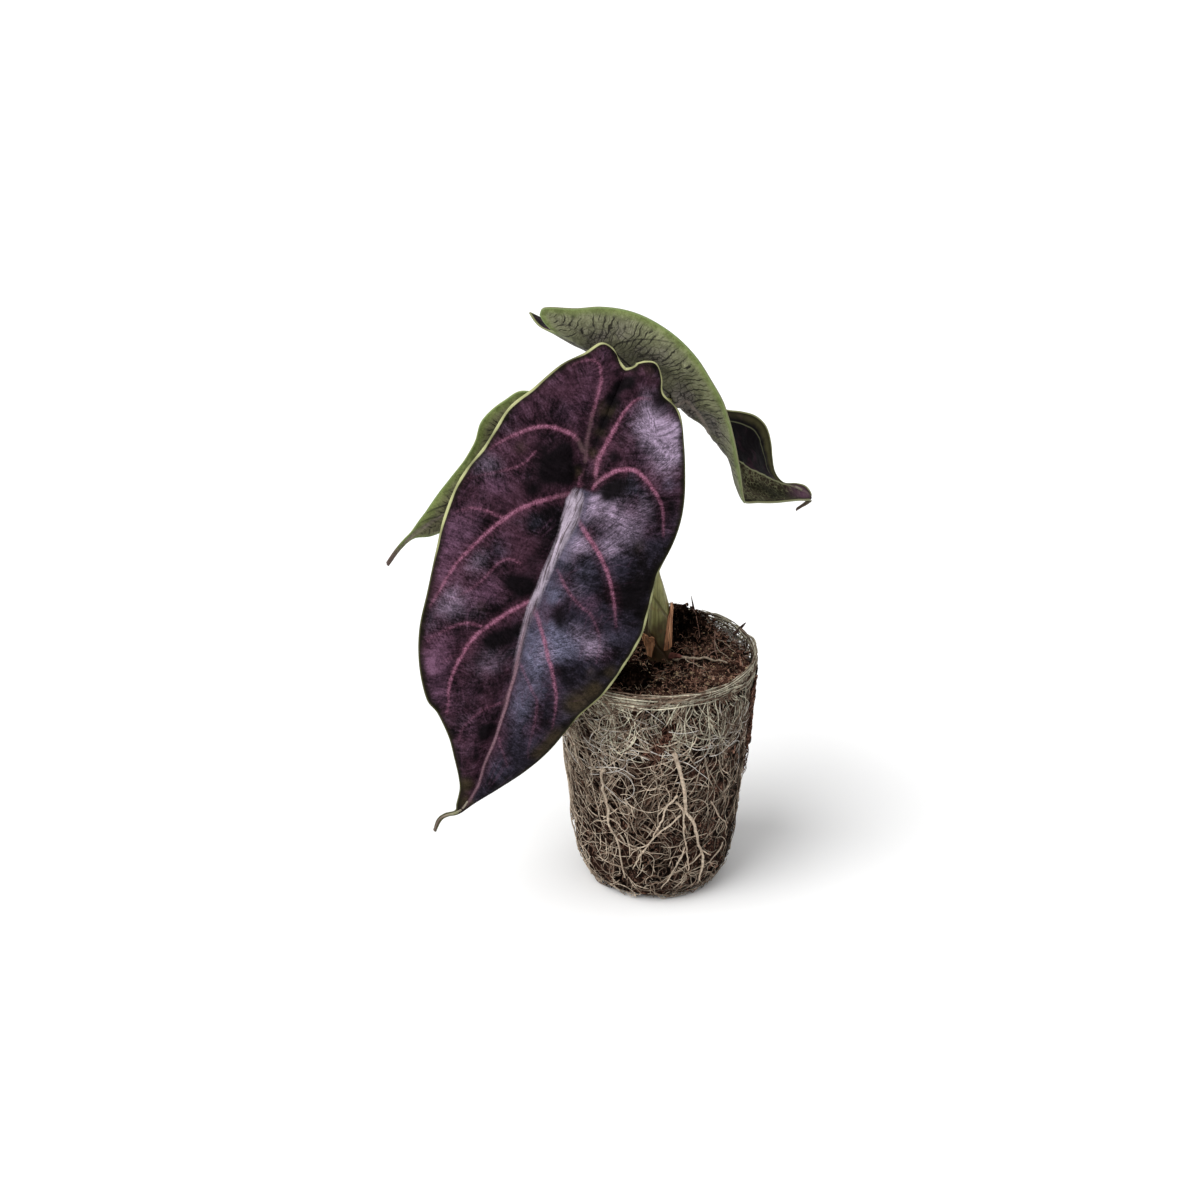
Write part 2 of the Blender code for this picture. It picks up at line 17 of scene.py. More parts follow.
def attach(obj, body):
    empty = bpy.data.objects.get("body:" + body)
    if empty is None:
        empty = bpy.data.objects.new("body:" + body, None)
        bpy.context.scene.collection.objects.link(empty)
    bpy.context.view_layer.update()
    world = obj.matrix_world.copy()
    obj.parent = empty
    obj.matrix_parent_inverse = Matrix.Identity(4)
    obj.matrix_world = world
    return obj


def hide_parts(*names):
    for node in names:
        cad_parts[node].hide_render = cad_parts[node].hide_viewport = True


bl_info = {
    "name": "Alocasia plug plant",
    "version": (1, 0, 0),
    "blender": (4, 5, 0),
    "location": "3D View > Sidebar > Alocasia",
    "description": "Builds the leaves, stalks, roots and peat of a young alocasia around its packed part",
    "category": "Add Mesh",
}

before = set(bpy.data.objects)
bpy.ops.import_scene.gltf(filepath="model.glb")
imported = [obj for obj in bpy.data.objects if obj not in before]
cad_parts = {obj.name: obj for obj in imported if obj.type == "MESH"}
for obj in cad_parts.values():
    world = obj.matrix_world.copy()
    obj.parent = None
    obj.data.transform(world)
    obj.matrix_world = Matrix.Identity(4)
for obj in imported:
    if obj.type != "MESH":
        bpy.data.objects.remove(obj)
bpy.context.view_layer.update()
MM = 0.001

# Camera: eye, downward pitch in degrees and lens for a 36 mm sensor
EYE = (-15.4, -622.0, 410.4)
PITCH = 27.3
LENS = 73.65

# Lights: how wide each one is in degrees, and the direction it shines along
KEY_SPREAD, KEY_AIM = 52.0, (0.53, 0.3, -0.79)
TOP_SPREAD, TOP_AIM = 90.0, (-0.25, 0.2, -0.95)

# Blades: place of the joint, rails of the left edge, midrib and right edge from the lobes to the drip tip,
# how far each half bulges to its upper side, and the height of the waves at the edge
FRONT = {
    "joint": (-20.8, -16, 132.4), "cups": (2.2, 3.4), "ripple": 1,
    "left": [
        (10, 18, 30.5), (8.5, 18.6, 32.8), (5.5, 18.5, 34.2), (1.1, 16.7, 32), (-5.5, 14, 29.6),
        (-13, 11, 24.1), (-19.5, 7.5, 19.8), (-25.3, 3.5, 11.2), (-32.4, -0.5, 2.6), (-36.8, -3.6, -7.1),
        (-39.2, -6.5, -16.4), (-41.6, -10.1, -26.8), (-43.9, -13.5, -36.5), (-44.1, -16.3, -46.2),
        (-42.3, -18.5, -55.5), (-39.3, -19.7, -59.7), (-36.4, -20.5, -67), (-35, -21.4, -73.1),
        (-33.8, -22, -79), (-33.6, -22.3, -82.5), (-34.6, -22.3, -87.2), (-35.1, -22.2, -89.5),
        (-38.2, -22, -90.7), (-40.3, -21.8, -92.7), (-41.4, -21.5, -96.4),
    ],
    "middle": [
        (12.5, 16, 28), (11.7, 15.4, 25.8), (10.5, 14.5, 23), (8.4, 12.4, 18.6), (6, 10, 13.5),
        (4, 8.4, 8.1), (2, 6.5, 2.5), (-0.4, 3.2, -2.8), (-3, -0.5, -8), (-5.5, -3.6, -13.3),
        (-8, -6.5, -19), (-10.2, -9.1, -25.5), (-12.5, -11.5, -32.5), (-15, -13.6, -39.8),
        (-17.5, -15.5, -47), (-19.7, -17.3, -53.5), (-22, -19, -60), (-24.7, -20.4, -67.1),
        (-27.5, -21.5, -74), (-29.6, -22.2, -81.5), (-32, -22.6, -87), (-34.6, -22.4, -90),
        (-37.7, -22, -91.2), (-39.8, -21.7, -92.9), (-41.2, -21.5, -96.7),
    ],
    "right": [
        (15.1, 18, 28.5), (17.8, 18.8, 28.8), (20.9, 19, 27.9), (22.4, 18, 24.4), (22.9, 16, 20.3),
        (27.1, 13, 16), (28.3, 9.5, 8), (28.6, 6.2, 1.6), (28.4, 3, -5), (27.4, 0.4, -10.8),
        (25.3, -2, -16.6), (21.5, -4.7, -24.2), (19.3, -7.5, -32.5), (16.6, -10.3, -41.2),
        (10.5, -13, -50.8), (5.8, -15.1, -56.4), (-0.9, -17, -62.2), (-8.8, -19.2, -71.8),
        (-15.8, -21, -78), (-22.9, -21.8, -82.9), (-29.5, -22, -87.2), (-34, -22.1, -90.6),
        (-37.3, -22, -91.6), (-39.2, -21.8, -93.2), (-40.9, -21.5, -97),
    ],
}
BACK = {
    "joint": (4.8, 15.5, 145.6), "cups": (-1.4, -1.3), "ripple": 0.9,
    "left": [
        (-36.2, -9.5, 28.5), (-35.7, -10.7, 30.6), (-33.8, -11.5, 31.2), (-26.7, -11.2, 30.2),
        (-20.1, -10.5, 30), (-12.9, -9.6, 28.6), (-6.2, -8.5, 25.7), (0.6, -7.4, 20.9), (6.4, -6.5, 14.7),
        (10.6, -6.3, 8.2), (13.9, -6.5, 2), (15.5, -7.2, -3.7), (16.7, -7.5, -10), (18.1, -6.6, -18),
        (20.2, -4.5, -29.7), (21.8, -0.9, -32.4), (26.1, 3.5, -34), (30, 8.4, -36.1), (34.1, 13.5, -38.4),
        (37.6, 18.8, -41), (40.4, 23.5, -43.3), (42.3, 27.1, -44.8), (42.9, 29, -46.1), (41.1, 28, -47),
        (38.3, 26, -47.8),
    ],
    "middle": [
        (-31.6, -4.5, 21), (-22.8, -3.5, 14.7), (-12, -2.5, 7.5), (-1.5, -0.5, 1), (5, 2.5, -5),
        (10.5, 5.5, -11.5), (14.5, 9.5, -18), (20, 14.5, -25), (26, 19.5, -32), (32.5, 24.5, -37.5),
        (38.5, 28.5, -41), (43.1, 30, -45.2), (38.5, 27, -47.8),
    ],
    "right": [
        (-40.4, 12.5, 19.6), (-38.6, 14.5, 18.6), (-35.5, 16.5, 17.1), (-29.1, 18.6, 13.9),
        (-21.5, 20.5, 10), (-14.9, 22.1, 5.8), (-8.5, 23.5, 1.5), (-2, 24.6, -2.9), (4, 25.5, -7),
        (8.7, 26.4, -10.3), (12.5, 27.5, -13), (15.5, 28.9, -15), (18.2, 30.5, -16.8), (21.8, 32.1, -18.2),
        (25.4, 33.5, -20.3), (28.3, 34.2, -23.9), (30.1, 34.5, -29.3), (31.2, 34.7, -34.5),
        (32.6, 34.5, -38.8), (35.1, 33.6, -41.4), (38.8, 32.5, -41.5), (41.6, 31.8, -42.3),
        (43.1, 31, -44.7), (41.5, 29.6, -46.3), (38.8, 28, -47.8),
    ],
}
LEFT = {
    "joint": (-30.9, 14, 134.6), "cups": (-1.5, -1.5), "ripple": 0.8,
    "left": [
        (12, 3, 7), (12.5, 4.5, 3), (8, 9, -2), (3, 13, -6), (-4, 13.5, -12), (-11.5, 11, -18.5),
        (-18.5, 8, -25), (-26, 4, -29), (-33, 0.5, -31.5), (-38, -2, -31.5), (-41.8, -3, -34.5),
        (-45.4, -4.5, -39),
    ],
    "middle": [
        (9, 1, 7.5), (6, 0.5, 5), (3, 0.3, 2.5), (-1, 0, -1), (-8, -0.5, -6.5), (-15.5, -1, -12),
        (-22.5, -1.5, -17.5), (-29, -2, -22.5), (-35, -2.5, -27), (-38.5, -2.8, -30), (-42, -3.5, -33.8),
        (-45.7, -5, -38.6),
    ],
    "right": [
        (11, -0.7, 14.8), (8.4, -2.2, 16.1), (5.5, -3.7, 17), (1.6, -4.9, 16.9), (-2.5, -6, 16),
        (-6.8, -6.9, 15.9), (-10.5, -7.5, 13.3), (-14.4, -7.6, 10.2), (-17.7, -7.3, 6.4),
        (-19.5, -6.8, 1.2), (-22.6, -6.2, -4.3), (-25.1, -5.6, -8.2), (-27.8, -5, -12.5),
        (-29.9, -4.5, -15.9), (-32, -4, -19.3), (-34.2, -3.7, -22.5), (-36.2, -3.5, -25.2),
        (-37.6, -3.4, -27.3), (-38.8, -3.4, -29), (-40.5, -3.6, -30.8), (-42.2, -4, -32.7),
        (-44, -4.7, -35), (-45.8, -5.5, -37.6),
    ],
}

# Size of a flattened blade, for the spacing of its fine veins
BLADE_LENGTH, BLADE_HALF = 140.0, 32.0

# Veins: strength, then places as share along the blade and turn from -1 at the left edge to 1 at the right
FRONT_VEINS = [
    (0.8, [
         (0.245, -0.04), (0.165, -0.22), (0.125, -0.41), (0.115, -0.53), (0.11, -0.69), (0.12, -0.84),
         (0.135, -0.91), (0.155, -0.92),
    ]),
    (1, [
         (0.23, -0.11), (0.22, -0.21), (0.22, -0.33), (0.235, -0.57), (0.265, -0.77), (0.285, -0.9),
         (0.295, -0.94),
    ]),
    (0.4, [(0.275, -0.56), (0.3, -0.63), (0.325, -0.87), (0.33, -0.94)]),
    (1, [(0.3, -0.03), (0.35, -0.42), (0.41, -0.71), (0.435, -0.83), (0.475, -0.95)]),
    (0.55, [(0.365, -0.52), (0.36, -0.76), (0.37, -0.94)]),
    (0.4, [(0.425, -0.25), (0.42, -0.34), (0.425, -0.43), (0.45, -0.56), (0.465, -0.72), (0.47, -0.82)]),
    (1, [
         (0.485, -0.07), (0.49, -0.15), (0.51, -0.4), (0.525, -0.52), (0.57, -0.72), (0.61, -0.81),
         (0.63, -0.89),
    ]),
    (0.5, [(0.51, -0.42), (0.5, -0.61), (0.51, -0.86), (0.515, -0.92)]),
    (0.35, [(0.65, 0.01), (0.645, -0.35), (0.66, -0.71), (0.68, -0.83)]),
    (0.3, [(0.54, -0.59), (0.54, -0.69), (0.545, -0.78)]),
    (1, [(0.27, 0.11), (0.23, 0.09), (0.165, 0.24), (0.145, 0.4), (0.145, 0.56), (0.16, 0.78)]),
    (1, [
         (0.29, 0.12), (0.28, 0.15), (0.27, 0.28), (0.27, 0.37), (0.28, 0.54), (0.335, 0.79), (0.4, 0.89),
    ]),
    (1, [(0.335, 0.04), (0.37, 0.18), (0.42, 0.4), (0.465, 0.59), (0.525, 0.74)]),
    (0.45, [(0.435, 0.07), (0.47, 0.23), (0.495, 0.39), (0.505, 0.48), (0.535, 0.61), (0.57, 0.71)]),
    (0.85, [(0.49, -0.03), (0.51, 0.03), (0.565, 0.24), (0.58, 0.32), (0.64, 0.56), (0.68, 0.75)]),
    (0.35, [(0.58, 0.02), (0.62, 0.22), (0.64, 0.34), (0.7, 0.57), (0.72, 0.74)]),
    (0.25, [(0.7, 0.07), (0.715, 0.19), (0.74, 0.5)]),
    (0.5, [(0.285, -0.01), (0.265, -0.03), (0.243, -0.04)]),
]
FRONT_RIB = [
    (0.285, -0.01), (0.32, 0.02), (0.39, 0.03), (0.52, -0.04), (0.6, 0.01), (0.65, 0.02), (0.76, 0.09),
    (0.79, 0.12), (0.84, 0.08), (0.95, 0),
]

# Veins of the right half that the other two blades share, above and below one of the left blade
HIGH_RIGHT_VEINS = [
    (0.9, [(0.28, 0.03), (0.2, 0.2), (0.15, 0.4), (0.12, 0.7)]),
    (0.7, [(0.27, 0.12), (0.27, 0.41), (0.29, 0.64), (0.34, 0.88)]),
    (0.9, [(0.33, 0.03), (0.4, 0.31), (0.45, 0.6), (0.51, 0.9)]),
]
LOW_RIGHT_VEINS = [
    (0.8, [(0.52, 0.02), (0.57, 0.3), (0.63, 0.6), (0.68, 0.85)]),
    (0.5, [(0.63, 0.02), (0.68, 0.4), (0.74, 0.8)]),
]

BACK_VEINS = [
    (1.0, [(0.27, -0.05), (0.2, -0.22), (0.166, -0.42), (0.172, -0.55), (0.205, -0.67), (0.232, -0.74),
           (0.26, -0.82), (0.285, -0.89)]),
    (0.5, [(0.21, -0.47), (0.235, -0.56), (0.262, -0.66)]),
    (0.6, [(0.29, -0.57), (0.298, -0.66), (0.3, -0.76)]),
    (1.3, [(0.313, -0.77), (0.318, -0.8), (0.322, -0.84)]),
    (0.5, [(0.345, -0.22), (0.38, -0.5), (0.425, -0.7)]),
    (0.5, [(0.45, 0.0), (0.49, -0.35), (0.54, -0.62)]),
    (0.6, [(0.6, -0.02), (0.65, -0.4), (0.71, -0.8)]),
    *HIGH_RIGHT_VEINS,
    *LOW_RIGHT_VEINS,
]
BACK_RIB = [
    (0.285, -0.02), (0.315, -0.18), (0.345, -0.24), (0.371, -0.17), (0.413, -0.06), (0.46, 0.0), (0.6, 0.0),
    (0.8, 0.0), (0.95, 0.0),
]

LEFT_VEINS = [
    (0.9, [(0.28, -0.03), (0.19, -0.17), (0.13, -0.36), (0.1, -0.6), (0.1, -0.8)]),
    (0.7, [(0.24, -0.12), (0.23, -0.42), (0.26, -0.72), (0.29, -0.9)]),
    (0.9, [(0.3, -0.03), (0.34, -0.34), (0.39, -0.61), (0.46, -0.92)]),
    (0.5, [(0.38, -0.02), (0.42, -0.34), (0.47, -0.62), (0.54, -0.9)]),
    (0.8, [(0.48, -0.02), (0.51, -0.4), (0.56, -0.66), (0.63, -0.88)]),
    (0.5, [(0.6, -0.02), (0.65, -0.4), (0.71, -0.8)]),
    *HIGH_RIGHT_VEINS,
    (0.5, [(0.42, 0.02), (0.47, 0.35), (0.52, 0.62), (0.58, 0.88)]),
    *LOW_RIGHT_VEINS,
]
LEFT_RIB = [(0.28, 0.0), (0.45, 0.0), (0.65, 0.0), (0.8, 0.0), (0.95, 0.0)]

# Soft places on the front blade: share, turn, radius and strength
# Painted lilac sheen on the front blade.
SHEEN = [
    (0.23, 0.75, 5.5, 0.8), (0.23, 0.95, 2.5, 0.7), (0.2, 0.65, 4.5, 0.75), (0.16, 0.75, 3, 0.5),
    (0.26, 0.9, 3, 0.5), (0.28, 0.8, 4, 0.5), (0.34, 0.35, 4, 0.5), (0.38, 0.55, 5, 0.55),
    (0.41, 0.45, 3.5, 0.5), (0.34, 0.65, 4, 0.3), (0.32, 0.2, 2.5, 0.7), (0.34, 0.15, 2.5, 0.65),
    (0.39, 0.15, 3, 0.7), (0.41, 0.1, 2.5, 0.55), (0.4, 0.25, 2.5, 0.4), (0.55, 0.6, 3.5, 0.7),
    (0.53, 0.4, 3, 0.35), (0.47, 0.3, 2, 0.3), (0.56, 0.2, 3, 0.4), (0.31, -0.95, 4, 0.3),
    (0.31, -0.8, 3, 0.2), (0.27, -0.9, 3, 0.15), (0.43, -0.65, 3.5, 0.25), (0.42, -0.6, 3, 0.15),
    (0.47, -0.8, 3.5, 0.3), (0.48, -0.65, 4.5, 0.2), (0.48, -0.85, 3.5, 0.2), (0.46, -0.75, 3, 0.2),
    (0.5, -0.9, 3, 0.15), (0.56, -0.25, 4.5, 0.25), (0.56, -0.4, 3.5, 0.2), (0.65, -0.65, 3, 0.15),
    (0.64, -0.95, 2, 0.15),
]
# Painted blue-grey sheen beside the midrib.
BLUE_SHEEN = [
    (0.54, 0.1, 4.5, 0.8), (0.52, 0.2, 3, 0.45), (0.57, 0.15, 4, 0.8), (0.6, 0.15, 4, 0.45),
    (0.62, 0.3, 3, 0.3), (0.64, 0.15, 4, 0.45), (0.67, 0.25, 4, 0.35), (0.47, 0.15, 2.5, 0.65),
    (0.48, 0.1, 2, 0.55), (0.54, 0.3, 4, 0.65), (0.55, 0.45, 3.5, 0.5), (0.56, 0.3, 3, 0.55),
    (0.44, 0.3, 4, 0.3), (0.31, 0.85, 2.5, 0.45), (0.31, 0.55, 3, 0.3), (0.2, 0.5, 2.5, 0.25),
    (0.75, 0.4, 3, 0.2), (0.54, 0.75, 3, 0.25), (0.36, -0.25, 3, 0.25), (0.41, -0.45, 3, 0.25),
    (0.28, 0.5, 1.5, 0.2),
]
BLUSH = [
    (0.38, -0.9, 4.5, 0.45), (0.39, -0.75, 4, 0.35), (0.41, -0.9, 4, 0.55), (0.44, -0.9, 4, 0.55),
    (0.42, -0.45, 2.5, 0.35), (0.46, -0.45, 4, 0.55), (0.47, -0.6, 3.5, 0.45), (0.52, -0.8, 4, 0.5),
    (0.54, -0.9, 4, 0.55), (0.55, -0.8, 4, 0.45), (0.58, -0.85, 3, 0.65), (0.62, -0.8, 2.5, 0.35),
    (0.6, -0.5, 3, 0.25), (0.66, -0.5, 4, 0.3), (0.7, -0.6, 3.5, 0.25), (0.33, -0.65, 3, 0.45),
    (0.33, -0.75, 2.5, 0.45), (0.31, -0.6, 2, 0.2), (0.23, -0.9, 4, 0.25), (0.18, -0.9, 3.5, 0.3),
    (0.16, -0.45, 4, 0.35), (0.2, -0.5, 4, 0.35), (0.13, -0.65, 3, 0.3), (0.08, -0.8, 2, 0.3),
    (0.25, -0.95, 3, 0.2), (0.29, -0.85, 3, 0.25), (0.36, -0.75, 3, 0.35), (0.39, -0.45, 2.5, 0.35),
    (0.39, 0.75, 3, 0.3), (0.35, 0.55, 4, 0.35), (0.39, 0.95, 2, 0.3), (0.28, 0.75, 4, 0.35),
    (0.25, 0.55, 3, 0.35), (0.49, 0.45, 3, 0.45), (0.56, 0.75, 3, 0.3), (0.68, 0.5, 3.5, 0.3),
    (0.16, 0.4, 2, 0.35),
]
# Painted shade: places where the blade dips and is drawn near-black.
SHADE_SPOTS = [
    (0.27, -0.3, 4, 1), (0.29, -0.35, 3.5, 1), (0.28, -0.15, 2.5, 1), (0.32, -0.4, 3, 0.7),
    (0.25, -0.3, 2.5, 0.8), (0.27, -0.55, 2.5, 0.6), (0.36, -0.55, 2.5, 0.5), (0.12, -0.05, 2.5, 0.9),
    (0.16, 0, 2.5, 0.9), (0.2, 0, 2.5, 0.8), (0.09, -0.05, 2, 0.8), (0.08, 0.2, 2.5, 0.9),
    (0.24, 0.25, 2.5, 0.7), (0.31, 0.3, 2.5, 0.85), (0.3, 0.4, 2.5, 0.7), (0.18, 0.8, 3.5, 0.5),
    (0.17, 0.95, 2.5, 0.6), (0.46, -0.15, 4, 1), (0.45, -0.3, 2.5, 0.6), (0.42, -0.15, 3, 0.5),
    (0.39, -0.1, 3, 0.5), (0.36, -0.3, 3, 0.5), (0.34, -0.15, 2.5, 0.6), (0.53, -0.2, 3, 1),
    (0.53, -0.35, 2.5, 0.9), (0.55, -0.45, 2.5, 0.6), (0.52, -0.1, 2, 0.6), (0.61, -0.2, 2.5, 0.45),
    (0.6, -0.05, 2, 0.5), (0.69, -0.1, 2.5, 1), (0.69, -0.25, 2.5, 0.7), (0.66, -0.45, 2, 0.4),
    (0.5, 0.2, 3, 0.6), (0.52, 0.25, 3, 0.5), (0.48, 0.8, 4, 0.9), (0.51, 0.95, 3, 0.8),
    (0.49, 0.75, 2.5, 0.8), (0.47, 0.95, 2.5, 0.7), (0.47, 0.5, 2.5, 0.4), (0.41, 0.7, 2.5, 0.35),
    (0.36, 0.8, 2, 0.6), (0.34, 0.9, 1.5, 0.6), (0.58, 0.4, 2.5, 0.65), (0.6, 0.55, 2.5, 0.6),
    (0.67, 0.6, 2.5, 0.5), (0.72, 0.35, 2, 0.4), (0.44, -0.8, 1, 0.6), (0.52, -0.65, 1.5, 0.35),
]
OLIVE = [
    (0.64, 0.8, 4.5, 0.8), (0.61, 0.85, 2.5, 0.8), (0.58, 0.9, 2.5, 0.6), (0.69, 0.9, 3.5, 0.8),
    (0.71, 0.85, 3, 0.8), (0.75, 1, 2.5, 0.6), (0.14, -0.05, 3, 0.7), (0.18, 0, 2.5, 0.6),
    (0.22, 0, 2, 0.7), (0.27, -0.1, 2, 0.85), (0.41, 0.7, 2.5, 0.35), (0.28, -0.7, 2.5, 0.4),
    (0.78, -0.6, 2.5, 0.85), (0.83, -0.05, 2.5, 0.95), (0.08, 0.75, 2.5, 0.4), (0.48, -0.5, 2.5, 0.3),
    (0.58, 0.7, 2, 0.4),
]
DULL = [
    (0.25, -0.05, 3, 0.9), (0.22, -0.1, 3, 0.85), (0.19, -0.15, 3, 0.8), (0.17, -0.2, 2.5, 0.45),
    (0.23, -0.2, 1.5, 0.5), (0.31, -0.1, 2.5, 0.45), (0.28, 0.15, 1.5, 0.5), (0.35, 0.1, 1.5, 0.4),
]
PALE = [
    (0.36, -1, 4, 1), (0.33, -1, 3.5, 1), (0.3, -1, 3.5, 1), (0.27, -1, 3.5, 1), (0.24, -1, 3.5, 1),
    (0.21, -1, 3.5, 0.8), (0.18, -0.95, 4, 0.45), (0.12, -1, 3, 0.7), (0.09, -1, 2.5, 1),
    (0.04, -0.85, 2.5, 1), (0.01, -0.15, 2.5, 1), (0.02, 1, 2.5, 1), (0.08, 1, 2.5, 1), (0.13, 1, 2.5, 1),
    (0.17, 1, 2.5, 0.95), (0.21, 1, 2.5, 0.6), (0.38, -1, 3.5, 0.8), (0.41, -1, 3.5, 0.55),
    (0.46, 1, 2.5, 0.5), (0.49, 1, 2.5, 0.8), (0.52, 1, 3, 0.95), (0.55, 1, 3, 1), (0.57, 0.95, 3, 1),
    (0.6, 0.95, 3, 0.95), (0.63, 0.9, 3, 0.7), (0.66, 0.95, 2.5, 0.5),
]

# Stalks: radius and place of each bend, from the stem base up to the underside of a leaf
FRONT_STALK = [
    (3.3, (1.8, 3.2, 62)), (3.4, (1.7, 3.0, 69)), (3.3, (1.6, 2.6, 78)), (2.9, (1.5, 2.2, 86)),
    (2.0, (0.0, 2.0, 95)), (1.9, (-3.0, 2.2, 106)), (1.8, (-8.0, 1.8, 117)), (1.7, (-13.0, -0.8, 124.5)),
    (1.6, (-17.8, -5.4, 128.2)), (1.5, (-20.9, -10.3, 130.3)),
]
BACK_STALK = [
    (2.8, (2.6, 5.2, 62)), (2.7, (2.3, 5.6, 72)), (2.3, (1.2, 6.2, 82)), (1.8, (-0.6, 7.2, 94)),
    (1.7, (-0.8, 8.5, 108)), (1.6, (0.6, 10.0, 124)), (1.5, (2.3, 11.8, 137)), (1.4, (4.3, 14.9, 145.2)),
]
LEFT_STALK = [
    (2.4, (0.6, 5.0, 62)), (2.4, (0.2, 5.8, 72)), (2.0, (-1.8, 7.4, 84)), (1.7, (-5.8, 9.0, 98)),
    (1.6, (-12.0, 9.8, 110)), (1.5, (-20.0, 10.0, 121)), (1.4, (-27.0, 10.8, 130)),
    (1.3, (-30.4, 13.3, 134.2)),
]
STEM_X, STEM_Y = 2.0, 4.2

# Dry scales round the stem: directions in degrees, foot and flare as shares of the width
SCALE_X, SCALE_Y = 1.7, 2.9
DRY_SCALES = {
    "dry_scale_left": {
        "turn": -138, "low": 71.0, "tall": 7.6, "half_turn": 30, "near": 3.75, "lean": 1.9, "foot": 0.5,
        "flare": 0.1, "slide": 0, "crumpled": 1.0,
    },
    "dry_scale_right": {
        "turn": -36, "low": 73.0, "tall": 14.0, "half_turn": 40, "near": 3.42, "lean": 0.2, "foot": 0.8,
        "flare": -0.55, "slide": 22, "crumpled": 0.3,
    },
}

# Plug: radius and height of the net's centre line, and of the peat behind it
WEB_SIDE = [(19.4, 1.3), (22.2, 6.0), (23.95, 16.0), (26.25, 42.0), (27.05, 52.0), (28.1, 62.0),
            (29.25, 71.0)]
PEAT_SIDE = [(16.0, 0.0), (19.2, 1.4), (21.8, 6.0), (23.5, 16.0), (25.8, 42.0), (26.6, 54.0), (27.8, 66.0),
             (28.2, 69.5)]
PEAT_TOP = 70.0
# Usual radius of the plug, how far out loose crumbs lie, and how finely the peat is divided
PLUG_RADIUS, SOIL_RADIUS = 27.0, 28.0
TOP_RINGS, SIDE_RINGS, PLUG_STEPS = 44, 94, 220
# The net is drawn up towards its rim: where that starts, and over what height it grows to its full amount
RIM_FOOT, RIM_SPAN = 58.0, 13.0
# Heap at the back of the peat: its middle, its height and how far it spreads
HEAP_X, HEAP_Y = 9.0, 22.5
HEAP_TALL, HEAP_SPREAD = 4.2, 8.0
# Painted shadow on the peat round the stem: the middle of each, and the distances at which the dark ends and
# is gone
PEAT_SHADOWS = [(-7.0, -9.0, 7.0, 16.0), (8.0, 18.0, 7.0, 14.0), (2.0, 6.0, 8.0, 13.0)]
# The plug leans to the right towards its foot: shift in X and height
LEAN = [(0.75, 0.0), (0.75, 42.0), (0.4, 56.0), (0.0, 71.0)]

# Thick roots on the front of the plug: thickness, then angle in degrees and height of each bend
THICK_ROOTS = [
    (0.8, [(-80, 55), (-76, 49), (-73, 42), (-71, 34), (-65, 29), (-60, 21), (-55, 14), (-55, 5)]),
    (0.58, [(-123, 47), (-126, 44), (-125, 40), (-123, 35), (-122, 28), (-118, 24), (-115, 20), (-113, 9)]),
    (0.42, [(-77, 40), (-84, 36), (-86, 32), (-90, 28), (-95, 23), (-107, 20)]),
    (0.48, [(-78, 38), (-73, 34), (-71, 25), (-69, 20), (-66, 12)]),
    (0.38, [(-74, 33), (-90, 26), (-100, 19), (-106, 13)]),
    (0.34, [(-70, 21), (-77, 13), (-86, 6)]),
    (0.3, [(-53, 35), (-44, 28), (-35, 23), (-31, 18)]),
    (0.3, [(-36, 17), (-44, 13), (-53, 12)]),
    (0.4, [(20, 52), (26, 40), (22, 28), (30, 16), (27, 6)]),
    (0.35, [(88, 56), (80, 42), (84, 30), (76, 20)]),
    (0.45, [(150, 50), (158, 38), (152, 24), (160, 12)]),
    (0.36, [(178, 44), (190, 30), (184, 18), (192, 8)]),
]

# Roots that lie on top of the peat: thickness and the places they pass
SURFACE_ROOTS = [
    (0.55, [(5.6, 1.5), (7.7, 0.8), (13.5, 0.2), (17.0, -1.0), (21.2, -3.4)]),
    (0.26, [(18.4, 14.9), (18.0, 8.0), (18.3, 2.5), (18.6, -1.0)]),
    (0.2, [(18.0, 9.0), (19.4, 4.0), (22.5, -1.5)]),
    (0.2, [(11.5, 26.0), (13.0, 20.0), (13.8, 12.0)]),
    (0.15, [(19.0, 10.5), (21.5, 7.0), (24.0, 2.5)]),
    (0.15, [(12.0, 7.0), (11.6, -2.0), (10.8, -12.5)]),
    (0.22, [(9.0, 0.6), (10.5, -3.0), (14.0, -5.5)]),
    (0.2, [(15.0, 0.0), (18.5, 4.5), (23.5, 6.0)]),
]

# Reddish node that the roots on top start from, and the splinters of bark with their steps: radius and place
ROOT_NODE = [
    (0.25, (1.6, 1.3, 70.1)), (0.5, (3.4, 1.3, 70.3)), (0.95, (5.6, 1.4, 70.6)), (0.75, (6.9, 1.2, 70.5)),
    (0.45, (8.3, 0.8, 70.5)),
]
BARK = [
    (14, [(0.7, (13.0, 23.4, 69.5)), (0.55, (12.6, 23.7, 72.0)), (0.3, (12.2, 24.1, 75.0)),
          (0.08, (11.6, 24.7, 78.0))]),
    (10, [(0.35, (23.6, 12.2, 71.6)), (0.5, (24.8, 13.4, 72.2)), (0.4, (26.4, 15.0, 73.0)),
          (0.15, (27.4, 16.0, 73.6))]),
]

# Bare patch where peat shows on the front of the plug: angle and height of both ends, and half its width
BARE_PATCH = {"top": (-81.0, 62.5), "foot": (-94.0, 51.5), "half_width": 1.8}
PATCH_CRUMBS, PATCH_FIBRES = 130, 100
# Gap to the bare patch that is noted for a root which the patch never cuts
FAR_OFF = 99.0

# Torn strip at the right of the plug: its direction and half its width in degrees, its foot and its height
FLAP_TURN, FLAP_HALF = -6.0, 10.0
FLAP_LOW, FLAP_TALL = 44.0, 22.0

# Colour of the soil that sticks to the roots, also laid on as painted shade towards the right of the plug
SOIL_STAIN_AND_SHADE = (0.05, 0.026, 0.018)


# Shapes

